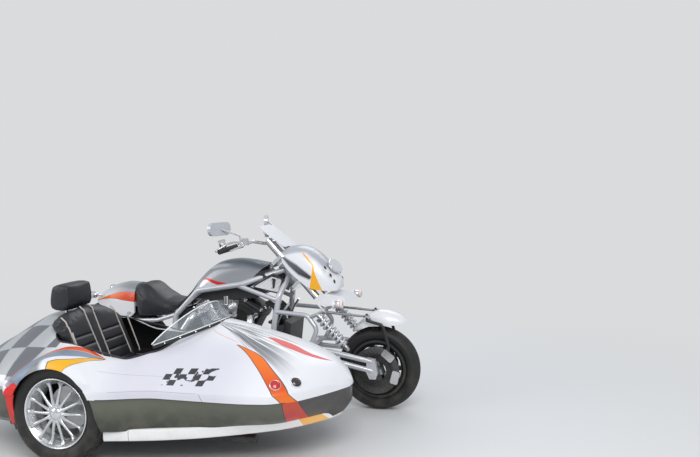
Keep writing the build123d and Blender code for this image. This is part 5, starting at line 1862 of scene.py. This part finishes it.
@dataclass
class Bodywork:
    """Tank cover, rear fender, lamp pod, mudguard, bumper and the louvred triangles."""

    corners: tuple = ((0.0, 0.0), (152.0, 88.0), (226.0, 44.0), (190.0, -54.0))
    slats: int = 11

    def panels(self, paint: "Paints") -> None:
        """The cover, the fender, the pod and the mudguard."""
        Shell("tank_cover_shell", ("tank_cover",), paint.tank, (
            (476, 92, 645, 662), (500, 108, 668, 715), (550, 120, 702, 800), (597, 124, 732, 856),
            (667, 125, 772, 918), (743, 126, 783, 958), (854, 126, 798, 975), (964, 121, 838, 965),
            (1048, 96, 910, 948), (1084, 78, 936, 944))).build()
        fender = Shell("rear_fender_shell", ("rear_fender",), paint.fender, (
            (-214, 70, 676, 702), (-204, 88, 664, 709), (-160, 104, 640, 742),
            (-86, 111, 598, 783), (-5, 112, 575, 803), (60, 112, 569, 801),
            (99, 112, 600, 797)), fullness=3.2).build()
        arch = [(-98, 200), (-98, 345), (98, 345), (98, 200)]
        Meshes.cut(fender, Meshes.lathe(REAR_AXLE, arch, 72))
        Meshes.tidy(fender, 50)
        bars = [Meshes.sweep([(x, -131, z), (x, 131, z)], 9, 16)
                for x, z in ((-40, 590), (60, 600))]
        Meshes.piece("rear_fender_bars", *Meshes.join(bars), paint.silver)
        Shell("lamp_pod", ("fairing",), paint.pod, (
            (1190, 120, 985, 1030), (1215, 138, 955, 1052), (1262, 148, 905, 1062),
            (1320, 150, 852, 1060), (1395, 148, 800, 1034), (1470, 136, 784, 968),
            (1525, 112, 778, 902), (1556, 80, 778, 862), (1570, 46, 788, 836)), "steering",
              2.7).build()
        slots = []
        for x, y, z, lean in ((1500, -128, 930, 55), (1528, -104, 880, 66), (1548, -88, 838, 74)):
            for side in Side:
                sign = -side.value
                tilt = math.radians(lean)
                run = Vector((-math.cos(tilt), 0, math.sin(tilt))) * 13
                here = Vector((x, y * sign, z))
                slots.append(Meshes.sweep([here - run, here, here + run], [2.0, 7.0, 2.0], 10))
        Meshes.piece("lamp_pod_slots", *Meshes.join(slots), paint.liner, "steering")
        guard = Shell("mudguard_shell", ("front_mudguard",), paint.guard, (
            (1634, 58, 476, 484), (1662, 78, 500, 526), (1700, 86, 530, 578),
            (1760, 88, 548, 624), (1830, 88, 554, 648), (1890, 84, 557, 643),
            (1950, 68, 561, 622), (1990, 46, 570, 598), (2010, 16, 578, 584)), "wheel_carrier",
            2.3).build()
        arch = [(-83, 100), (-83, 286), (0, 300), (83, 286), (83, 100)]
        Meshes.cut(guard, Meshes.lathe(FRONT_AXLE, arch, 72))
        Meshes.tidy(guard, 50)

    def triangle(self, paint: "Paints") -> None:
        """The plates beside the head: black border, pale slats."""
        for side in Side:
            sign = side.value
            origin = Vector((985, sign * 139, 800))
            along, out = Vector((0.957, -sign * 0.29, 0)), Vector((0.29, sign * 0.957, 0))

            def lift(a: float, b: float, n: float) -> Vector:
                """A point of the plate's own plane."""
                return origin + along * a + Vector((0, 0, b)) + out * n

            middle = Vector((sum(c[0] for c in self.corners), sum(c[1] for c in self.corners))) / 4
            inner = [Vector(c) + (middle - Vector(c)).normalized() * 12 for c in self.corners]
            loop = Outline.curve([lift(p.x, p.y, 9.5) for p in inner], 1, closed=True)
            name = side.name.lower()
            edge = Meshes.rounded(loop + loop[:2], 10.0, 4)[1:-1]
            Meshes.piece(f"triangle_border_{name}", *Meshes.sweep(edge, 5.0, 10, closed=True),
                         paint.rubber)
            slope = Vector((190, -54)).normalized()
            cross = Vector((-slope.y, slope.x))
            bars = []
            for k in range(self.slats):
                base = middle + cross * (k - self.slats * 0.5) * 8.5
                hits = []
                for a, b in zip(inner, inner[1:] + inner[:1]):
                    run = b - a
                    cut = run.x * slope.y - run.y * slope.x
                    if abs(cut) < 1e-6:
                        continue
                    t = ((base.x - a.x) * slope.y - (base.y - a.y) * slope.x) / cut
                    if 0 <= t <= 1:
                        point = a + run * t
                        hits.append((point - base).dot(slope))
                if len(hits) > 1 and max(hits) - min(hits) > 24:
                    ends = [base + slope * (min(hits) + 9), base + slope * (max(hits) - 9)]
                    bars.append(Meshes.sweep([lift(e.x, e.y, 9.2) for e in ends], 3.0, 8))
            Meshes.piece(f"triangle_slats_{name}", *Meshes.join(bars), paint.white)

    def bumper(self, paint: "Paints") -> None:
        """The pale strip along the tub's foot and round its nose."""
        near = [(640, -1352), (880, -1322), (1110, -1272), (1330, -1208), (1540, -1124),
                (1660, -1048), (1750, -960), (1796, -890), (1808, -850)]
        far = [(x, 2 * HULL_Y - y) for x, y in near[::-1][1:] if x > 1450]
        path = Outline.curve([Vector((x, y)) for x, y in near + far], 6)
        sections = []
        for index, p in enumerate(path):
            ahead = path[min(index + 1, len(path) - 1)] - path[max(index - 1, 0)]
            out = Vector((ahead.y, -ahead.x)).normalized()
            low = float(np.interp(p.x, (640, 1110, 1560, 1830), (140, 160, 190, 215)))
            high = float(np.interp(p.x, (640, 1110, 1560, 1830), (204, 222, 252, 280)))
            depth = 30.0
            section = []
            for inset, z in ((depth, low + 2), (6, low), (1.5, low + 2), (0, low + 8),
                             (-2, 0.5 * (low + high)), (0, high - 8), (1.5, high - 2), (6, high),
                             (depth, high - 2)):
                q = p - out * inset
                section.append((q.x, q.y, z))
            sections.append(section)
        made = Meshes.piece("bumper_strip", *Outline.rings(sections), paint.bumper, angle=60)
        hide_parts("sidecar_bumper")

    def build(self, paint: "Paints") -> None:
        """Builds the panels.

        Args:
            paint: the finishes.
        """
        self.panels(paint)
        self.triangle(paint)
        self.bumper(paint)


@dataclass
class Screen:
    """The sidecar's windshield with its polished edges, its seal's screws and foot strip."""

    thickness: float = 4.0
    columns: int = 56
    rows: int = 8
    base_z: float = 560.0
    # The rear corner in the side view, and the slopes of the foot and the head from there
    corner: tuple[float, float] = (848.0, 618.0)
    slopes: tuple[float, float] = (0.3444, 1.0495)

    def plan(self) -> list[Vector]:
        """The pane's base line, an arc with short straight ends."""
        arc = []
        a, b = Vector((1012, -1204)), Vector((1282, -850))
        radius = ((b.x - a.x) ** 2 + (b.y - a.y) ** 2) / (2 * (b.x - a.x))
        centre = Vector((b.x - radius, HULL_Y))
        start = math.atan2(a.y - centre.y, a.x - centre.x)
        for k in range(self.columns + 1):
            turn = start + (-2 * start) * k / self.columns
            arc.append(Vector((centre.x + radius * math.cos(turn),
                               centre.y + radius * math.sin(turn))))
        lead = [Vector((950, -1212)), Vector((968, -1211)), Vector((990, -1208))]
        tail = [Vector((p.x, 2 * HULL_Y - p.y)) for p in lead[::-1]]
        return lead + arc + tail

    def crossing(self, x: float, slope: float) -> float:
        """How far up the pane's lean a line of the side view is met."""
        return (self.corner[1] - self.base_z + (x - self.corner[0]) * slope) / (1 + slope)

    def point(self, base: Vector, s: float) -> Vector:
        """A point of the pane above its base line."""
        return Vector((base.x - s, base.y, self.base_z + s))

    def build(self, paint: "Paints") -> None:
        """Builds pane, edges and screws.

        Args:
            paint: the finishes.
        """
        base = self.plan()
        foot, head, sections = [], [], []
        for p in base:
            low = self.crossing(p.x, self.slopes[0]) + 4
            high = max(self.crossing(p.x, self.slopes[1]), low + 3)
            foot.append(self.point(p, low))
            head.append(self.point(p, high))
            outer = [self.point(p, low + (high - low) * k / self.rows)
                     for k in range(self.rows + 1)]
            inner = [q - Vector((self.thickness, 0, 0)) for q in outer]
            sections.append(outer + inner[::-1])
        pane = Meshes.piece("windshield_pane", *Outline.rings(sections), paint.glass, angle=50)
        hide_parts("sidecar_windshield")
        shift = Vector((-self.thickness / 2, 0, 0))
        Meshes.piece("windshield_top_edge", *Meshes.sweep([p + shift for p in head], 3.4, 10),
                     paint.edge)
        Meshes.piece("windshield_foot_edge",
                     *Meshes.sweep([p + Vector((2, 0, 3)) for p in foot], 3.0, 10), paint.edge)
        seal = Meshes.sweep([p + Vector((1, 0, -7)) for p in foot], 9.0, 12)
        made = Meshes.piece("windshield_foot_seal", *seal, paint.rubber)
        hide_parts("windshield_seal")
        mesh = bpy.data.meshes.new("windshield_screws")
        spots = [foot[i] + (Vector((0.86, -0.4 if i < len(foot) / 2 else 0.4, 0.3)) * 8)
                 for i in range(4, len(foot) - 3, 6)]
        mesh.from_pydata([at(p.x, p.y, p.z - 6) for p in spots], [], [])
        screws = bpy.data.objects.new("windshield_screws", mesh)
        bpy.context.scene.collection.objects.link(screws)
        Repeat.run(screws, Repeat.on_path(), Radius=0.0055, Height=0.5, Out=(0.6, -0.5, 0.6),
                   Material=paint.chrome.material())
        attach(screws, "chassis")


@dataclass
class Fittings:
    """Shocks, lamps, indicators and the controls' small parts."""

    @staticmethod
    def turned(origin: Point, way: Point, profile: Sequence[tuple[float, float]],
               segments: int = 40) -> tuple[list, list]:
        """Turns an outline of distance and radius round a line through a point."""
        ahead = Vector(way).normalized()
        guide = Vector((0, 0, 1)) if abs(ahead.z) < 0.9 else Vector((1, 0, 0))
        u = ahead.cross(guide).normalized()
        v = ahead.cross(u)
        sections = []
        for along, radius in profile:
            here = Vector(origin) + ahead * along
            sections.append([here + (u * math.cos(t) + v * math.sin(t)) * max(radius, 0.05)
                             for t in (2 * math.pi * k / segments for k in range(segments))])
        return Outline.rings(sections)

    def shocks(self, paint: "Paints") -> None:
        """Front and rear dampers with coil springs and their collars."""
        for name, node, foot, top, radius, wire, turns, low, high in (
                ("front", "front_shocks", (1660, 200, 425), (1465, 200, 640), 27.5, 8.6, 7.0, 44,
                 252),
                ("rear", "rear_shocks", (60, 184, 350), (140, 176, 560), 21.0, 5.0, 8.0, 18,
                 200)):
            coils, bodies = [], []
            for side in Side:
                start = Vector((foot[0], side.value * foot[1], foot[2]))
                end = Vector((top[0], side.value * top[1], top[2]))
                way = (end - start).normalized()
                u = way.cross(Vector((0, 1, 0))).normalized()
                v = way.cross(u)
                steps = int(turns * 20)
                path = []
                for k in range(steps + 1):
                    turn = 2 * math.pi * turns * k / steps
                    path.append(start + way * (low + (high - low) * k / steps)
                                + (u * math.cos(turn) + v * math.sin(turn)) * radius)
                coils.append(Meshes.sweep(path, wire, 10))
                length = (end - start).length
                bodies.append(self.turned(start, way, [
                    (-12, 9), (-6, 14), (10, 15), (low - 16, 15), (low - 14, radius + 4),
                    (low - 4, radius + 5), (low - 2, 13), (high - 60, 13), (high - 60, 17),
                    (high + 2, 17), (high + 4, radius + 5), (high + 14, radius + 4),
                    (high + 16, 15), (length - 6, 15), (length + 4, 10)]))
            spring = Meshes.piece(f"{name}_springs", *Meshes.join(coils), paint.silver, angle=60)
            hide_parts(node)
            Meshes.piece(f"{name}_dampers", *Meshes.join(bodies), paint.steel, angle=40)

    def lamps(self, paint: "Paints") -> None:
        """Hull lamps in their bezels, the tail lamp and the four bullets."""
        bezels, ruby, smoked = [], [], []
        for index, (spot, way) in enumerate((((1581, -1249, 462), (0.40, -0.64, 0.66)),
                                             ((1666, -1178, 463), (0.55, -0.52, 0.66)))):
            bezels.append(self.turned(spot, way, [
                (-14, 30), (7, 30), (10.5, 28), (11.5, 26), (9, 24.5), (-14, 24.5)]))
            lens = self.turned(spot, way, [(-14, 24.5), (6, 24.5), (10, 20), (12.5, 12), (13.5, 1)])
            (ruby if index == 0 else smoked).append(lens)
        made = Meshes.piece("hull_lamp_bezels", *Meshes.join(bezels), paint.chrome, angle=60)
        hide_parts("sidecar_lamps")
        Meshes.piece("hull_lamp_ruby", *Meshes.join(ruby), paint.red_lens)
        Meshes.piece("hull_lamp_smoked", *Meshes.join(smoked), paint.smoked)
        shells, reds, stalks = [], [], []
        for side in Side:
            y = side.value * 168
            shells.append(self.turned((-146, y, 728), (-1, 0, 0), [
                (0, 1), (4, 12), (14, 19), (34, 24), (60, 25), (98, 25), (99, 23)]))
            reds.append(self.turned((-244, y, 728), (-1, 0, 0), [
                (0, 23.5), (6, 23.5), (13, 18), (17, 8), (18, 1)]))
            stalks.append(Meshes.sweep([(-158, side.value * 104, 714),
                                        (-168, side.value * 160, 726)], 8, 14))
        made = Meshes.piece("rear_bullets", *Meshes.join(shells + stalks), paint.chrome)
        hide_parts("rear_lamps")
        tail = Meshes.piece("tail_lamp", *Outline.slab(
            [(-196, 694), (-226, 698), (-214, 652), (-188, 646)], -54, 54), paint.red_lens)
        Outline.soften(tail, 6.0)
        Meshes.piece("rear_bullet_lenses", *Meshes.join(reds), paint.red_lens)
        shells, ambers = [], []
        for side in Side:
            y = side.value * 225
            shells.append(self.turned((1573, y, 712), (1, 0, 0), [
                (0, 1), (2, 12), (8, 20), (20, 24.6), (46, 25), (48, 23.5)]))
            ambers.append(self.turned((1620, y, 712), (1, 0, 0), [
                (0, 23.8), (8, 24.2), (16, 20), (21, 10), (22, 1)]))
        Meshes.piece("front_bullets", *Meshes.join(shells), paint.chrome, "steering")
        Meshes.piece("front_bullet_lenses", *Meshes.join(ambers), paint.amber_lens, "steering")

    def headlamp(self, paint: "Paints") -> None:
        """The oval lens in a thin chrome rim."""
        way = Vector((0.78, 0, 0.62))
        up = Vector((-0.62, 0, 0.78))
        centre = Vector((1520, 0, 922))
        rim = [centre + way * 12 + Vector((0, 1, 0)) * 90 * math.cos(t) + up * 50 * math.sin(t)
               for t in (2 * math.pi * k / 64 for k in range(64))]
        Meshes.piece("headlamp_rim", *Meshes.sweep(rim, 5.0, 10, closed=True), paint.chrome,
                     "steering")

    def controls(self, paint: "Paints") -> None:
        """Levers ahead of the grips and a fluid reservoir on each bar."""
        parts = []
        for side in Side:
            way = side.value
            lever = Outline.curve(((1022, way * 292, 1096), (985, way * 330, 1112),
                                   (945, way * 382, 1104), (902, way * 430, 1072),
                                   (890, way * 446, 1060)), 5)
            parts.append(Meshes.sweep(lever, 6.5, 12))
            parts.append(Meshes.sweep([(955, way * 366, 1072), (918, way * 376, 1092)], 8, 12))
            parts.append(self.turned((908, way * 378, 1084), (-0.2, 0, 1), [
                (0, 2), (2, 17), (6, 21), (34, 22), (35, 25), (43, 25), (46, 21), (47, 2)]))
        Meshes.piece("control_levers", *Meshes.join(parts), paint.chrome, "steering", angle=50)

    def lines(self, paint: "Paints") -> None:
        """Rigid oil and coolant pipes between the engine and the down tubes."""
        dark = []
        for y in (-84, -48, 48, 84):
            dark.append(Meshes.sweep(Outline.curve(((1070, y, 690), (1130, y * 1.05, 655),
                                                    (1172, y, 600), (1196, y * 0.9, 560)), 5), 13,
                                     12))
            dark.append(Meshes.sweep(Outline.curve(((1085, y, 560), (1128, y, 545),
                                                    (1158, y * 0.8, 500), (1196, y * 0.7, 470)), 5),
                                     10, 12))
        Meshes.piece("coolant_pipes", *Meshes.join(dark), paint.rubber)
        cooler = []
        for k in range(14):
            z = 470 + 13 * k
            cooler.append(Outline.slab([(1118, z), (1150, z + 3), (1150, z + 8), (1118, z + 5)],
                                       -92, 92))
        cooler.append(Outline.slab([(1124, 466), (1144, 468), (1144, 656), (1124, 654)], -84, 84))
        Meshes.piece("oil_cooler", *Meshes.join(cooler), paint.engine)
        bright = [Meshes.sweep(Outline.curve((
            (1236, side.value * 96, 690), (1200, side.value * 104, 640),
            (1168, side.value * 100, 575), (1150, side.value * 90, 520)), 5), 8, 12)
            for side in Side]
        Meshes.piece("breather_pipes", *Meshes.join(bright), paint.chrome)

    def build(self, paint: "Paints") -> None:
        """Builds the fittings.

        Args:
            paint: the finishes.
        """
        self.shocks(paint)
        self.lamps(paint)
        self.headlamp(paint)
        self.lines(paint)
        self.controls(paint)


@dataclass(frozen=True)
class Paints:
    """Every finish on the machine."""

    hull: Finish = Finish("hull_paint", (0.8, 0.8, 0.83), 0.36, coat=0.15, drift=0.05, dust=0.05,
                          relief=0.01, painter=HullPaint.upper)
    tub: Finish = Finish("tub_paint", (0.3, 0.3, 0.28), 0.30, metallic=0.35, coat=0.5, drift=0.08,
                         dust=0.3, relief=0.01, painter=HullPaint.lower)
    bumper: Finish = Finish("bumper_paint", (0.86, 0.86, 0.84), 0.3, coat=0.4, drift=0.04,
                            dust=0.2, painter=HullPaint.bumper)
    lining: Finish = Finish("carpet_lining", (0.02, 0.02, 0.022), 0.9, drift=0.5,
                            drift_scale=40, dust=0.1, relief=0.6)
    liner: Finish = Finish("black_liner", (0.012, 0.012, 0.013), 0.65, drift=0.3, dust=0.25,
                           relief=0.2)
    rubber: Finish = Finish("black_rubber", (0.018, 0.018, 0.019), 0.55, drift=0.2, dust=0.25,
                            relief=0.15)
    tyre: Finish = Finish("tyre_rubber", (0.012, 0.0115, 0.011), 0.6, drift=0.25, dust=0.10,
                          relief=0.25)
    leather: Finish = Finish("black_leather", (0.011, 0.0088, 0.0085), 0.38, drift=0.25,
                             dust=0.02, relief=0.3, kind=Surface.HIDE)
    tank: Finish = Finish("tank_paint", (0.3, 0.3, 0.32), 0.26, metallic=0.3, coat=0.5,
                          drift=0.05, dust=0.03, relief=0.0, painter=BodyPaint.tank)
    fender: Finish = Finish("fender_paint", (0.5, 0.5, 0.5), 0.26, coat=0.4, drift=0.05,
                            dust=0.05, relief=0.0, painter=BodyPaint.fender)
    pod: Finish = Finish("pod_paint", (0.7, 0.7, 0.7), 0.28, coat=0.3, drift=0.05, dust=0.04,
                         relief=0.0, painter=BodyPaint.pod)
    guard: Finish = Finish("mudguard_paint", (0.7, 0.7, 0.7), 0.28, coat=0.4, drift=0.05,
                           dust=0.08, relief=0.0, painter=BodyPaint.guard)
    panel: Finish = Finish("triangle_paint", (0.4, 0.4, 0.4), 0.4, coat=0.3, drift=0.05,
                           dust=0.05, relief=0.02, painter=BodyPaint.panel)
    edge: Finish = Finish("polished_edge", (0.88, 0.9, 0.9), 0.12, coat=1.0, drift=0.03, dust=0.02)
    smoked: Finish = Finish("smoked_lens", (0.03, 0.02, 0.02), 0.08, coat=1.0, drift=0.3,
                            drift_scale=40)
    chrome: Finish = Finish("chrome", (0.80, 0.80, 0.82), 0.13, metallic=1.0, drift=0.04, dust=0.05)
    silver: Finish = Finish("silver_enamel", (0.60, 0.61, 0.64), 0.26, metallic=0.35, coat=0.6,
                            drift=0.08, dust=0.05, relief=0.0)
    alloy_bright: Finish = Finish("bright_alloy", (0.72, 0.73, 0.75), 0.22, metallic=0.95,
                                  drift=0.10, dust=0.05, relief=0.05, kind=Surface.METAL, cast=0.1)
    bright_rim: Finish = Finish("polished_lip", (0.85, 0.86, 0.87), 0.12, metallic=0.95,
                                drift=0.04, dust=0.05)
    piping: Finish = Finish("pale_piping", (0.55, 0.50, 0.46), 0.45, drift=0.1, drift_scale=30,
                            dust=0.0, relief=0.1)
    rim: Finish = Finish("rim_silver", (0.66, 0.67, 0.68), 0.25, metallic=0.75, coat=0.4,
                         drift=0.06, dust=0.1)
    steel: Finish = Finish("brushed_steel", (0.5, 0.5, 0.5), 0.3, metallic=1.0, drift=0.1,
                           relief=0.1, kind=Surface.METAL, along=(1, 30, 30))
    engine: Finish = Finish("black_engine", (0.022, 0.021, 0.023), 0.42, drift=0.3, dust=0.15,
                            relief=0.3, kind=Surface.METAL, cast=0.8)
    plastic: Finish = Finish("dark_plastic", (0.03, 0.03, 0.032), 0.5, drift=0.15, dust=0.15,
                             relief=0.1)
    white: Finish = Finish("white_paint", (0.80, 0.80, 0.82), 0.22, coat=0.7, drift=0.04, dust=0.08)
    glass: Finish = Finish("clear_screen", (0.60, 0.66, 0.70), 0.18, drift=0.02, dust=0.0,
                           relief=0.0, alpha=0.14)
    frosted: Finish = Finish("frosted_screen", (0.58, 0.59, 0.62), 0.38, coat=0.1, drift=0.06,
                             dust=0.05, relief=0.0)
    # Steel darkened as painted shade, for the front disc inside its wheel
    shaded_steel: Finish = Finish("shaded_disc_steel", (0.10, 0.095, 0.095), 0.40, metallic=0.8, drift=0.2,
                                dust=0.2, relief=0.1, kind=Surface.METAL, cast=0.3)
    red_lens: Finish = Finish("red_lens", (0.55, 0.01, 0.01), 0.12, coat=1.0, drift=0.05)
    amber_lens: Finish = Finish("amber_lens", (0.85, 0.22, 0.01), 0.12, coat=1.0, drift=0.05)
    lamp_glass: Finish = Finish("lamp_glass", (0.75, 0.77, 0.8), 0.05, metallic=0.4, coat=1.0,
                                drift=0.1)


@dataclass
class Studio:
    """Camera, lights and the plain floor."""

    place: tuple[float, float, float] = (2.2625, -4.494, 1.523)
    right: tuple[float, float, float] = (0.96105, 0.27546, -0.02225)
    up: tuple[float, float, float] = (0.00266, 0.07129, 0.99745)
    ahead: tuple[float, float, float] = (-0.27635, 0.95866, -0.06779)
    lens: float = 41.03
    film_width: float = 36.0
    # Place, width and power of each lamp
    lamps: tuple = (("key_light", (3.0, -4.5, 5.0), 3.5, 225.0),
                    ("fill_light", (-5.0, -3.5, 3.5), 4.0, 110.0),
                    ("back_light", (0.5, 5.0, 4.5), 3.5, 70.0))
    backdrop: tuple[float, float, float] = (0.70, 0.71, 0.72)

    def build(self) -> None:
        """Sets the camera, the lamps, the world and the floor."""
        camera = bpy.data.cameras.new("camera")
        camera.lens = self.lens
        camera.sensor_width = self.film_width
        made = bpy.data.objects.new("camera", camera)
        bpy.context.scene.collection.objects.link(made)
        turn = Matrix((self.right, self.up, [-v for v in self.ahead])).transposed()
        made.matrix_world = Matrix.Translation(self.place) @ turn.to_4x4()
        bpy.context.scene.camera = made
        for name, place, size, power in self.lamps:
            data = bpy.data.lights.new(name, "AREA")
            data.energy = power
            data.size = size
            lamp = bpy.data.objects.new(name, data)
            bpy.context.scene.collection.objects.link(lamp)
            lamp.matrix_world = (Matrix.Translation(place)
                                 @ (Vector(place) - Vector((0, 0, 0.4))).to_track_quat("Z", "Y")
                                 .to_matrix().to_4x4())
        self.floor()
        self.world()

    def floor(self) -> None:
        """A wide pale floor that keeps the machine's shadow."""
        bpy.ops.mesh.primitive_plane_add(size=60, location=(0, 0, 0))
        plane = bpy.context.object
        plane.name = "studio_floor"
        pale = bpy.data.materials.new("pale_floor")
        pale.use_nodes = True
        shader = pale.node_tree.nodes["Principled BSDF"]
        shader.inputs["Base Color"].default_value = (0.74, 0.74, 0.74, 1)
        shader.inputs["Roughness"].default_value = 0.9
        work = Tree(pale.node_tree)
        _, x, y, _ = work.object_mm()
        dx = work.minus(x, DATUM_X)
        dy = work.minus(y, DATUM_Y)
        away = work.length(dx, dy)
        rays = work.node("ShaderNodeLightPath")
        seen = work.both(work.ramp(away, 1600.0, 5200.0), rays.outputs["Is Camera Ray"])
        glow = work.node("ShaderNodeEmission", {"Color": self.backdrop})
        blend = work.node("ShaderNodeMixShader",
                          {0: seen, 1: shader.outputs[0], 2: glow.outputs[0]})
        output = next(n for n in pale.node_tree.nodes if n.type == "OUTPUT_MATERIAL")
        work.feed(output.inputs["Surface"], blend.outputs[0])
        plane.data.materials.append(pale)

    def world(self) -> None:
        """A soft pale world, whiter where a camera or a glass ray sees it."""
        world = bpy.data.worlds.new("studio_world")
        bpy.context.scene.world = world
        world.use_nodes = True
        work = Tree(world.node_tree)
        world.node_tree.nodes.clear()
        rays = work.node("ShaderNodeLightPath").outputs
        seen = work.math("MAXIMUM", rays["Is Camera Ray"], rays["Is Transmission Ray"])
        light = work.node("ShaderNodeBackground", {
            "Color": work.mix(seen, (0.55, 0.58, 0.62), self.backdrop), "Strength": 1.0})
        work.node("ShaderNodeOutputWorld", {"Surface": light.outputs[0]})


class Carried:
    """Finishes for the CAD nodes that are shown as they are."""

    @staticmethod
    def dress(paint: Paints) -> None:
        """Assigns a finish to every CAD node.

        Args:
            paint: the finishes.
        """
        nodes = {
            paint.tyre: "front_tyre rear_tyre sidecar_tyre",
            paint.rim: "rear_rim sidecar_rim",
            paint.plastic: "front_rim radiator plate_bracket airbox battery_box",
            paint.silver: "frame tank_cover rear_swingarm front_swingarm front_loop mirrors",
            paint.engine: "engine_crankcase engine_cylinders wheel_carrier sidecar_chassis "
                          "sidecar_swingarm",
            paint.chrome: "exhaust rear_shocks foot_controls front_shocks fork_stubs handlebar "
                          "engine_intake hand_controls",
            paint.panel: "louvred_panels",
            paint.leather: "rider_seat sidecar_seat_back sidecar_seat_cushion sidecar_headrest",
            paint.white: "rear_fender fairing steering_plate front_mudguard",
            paint.red_lens: "rear_lamps",
            paint.rubber: "drive_belt handlebar_grips windshield_seal",
            paint.lamp_glass: "headlamp sidecar_lamps",
            paint.frosted: "windscreen",
            paint.steel: "steering_rod_right steering_rod_left",
            paint.alloy_bright: "brake_calipers",
            paint.hull: "sidecar_body sidecar_nose",
            paint.tub: "sidecar_tub sidecar_tub_nose",
            paint.bumper: "sidecar_bumper",
            paint.glass: "sidecar_windshield",
        }
        table = {name: finish for finish, names in nodes.items() for name in names.split()}
        for name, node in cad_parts.items():
            node.data.materials.clear()
            node.data.materials.append(table[name].material())


def main() -> None:
    """Builds every sub-assembly and reports it."""
    paint = Paints()
    Studio().build()
    Carried.dress(paint)
    SidecarHull().build(paint)
    SidecarSeat().build(paint)
    Saddle().build(paint)
    Wheels().build(paint)
    Engine().build(paint)
    Bodywork().build(paint)
    Screen().build(paint)
    Fittings().build(paint)


if __name__ == "__main__":
    logging.basicConfig(level=logging.INFO, format="%(message)s")
    main()
    bpy.context.scene.view_settings.view_transform = "Standard"
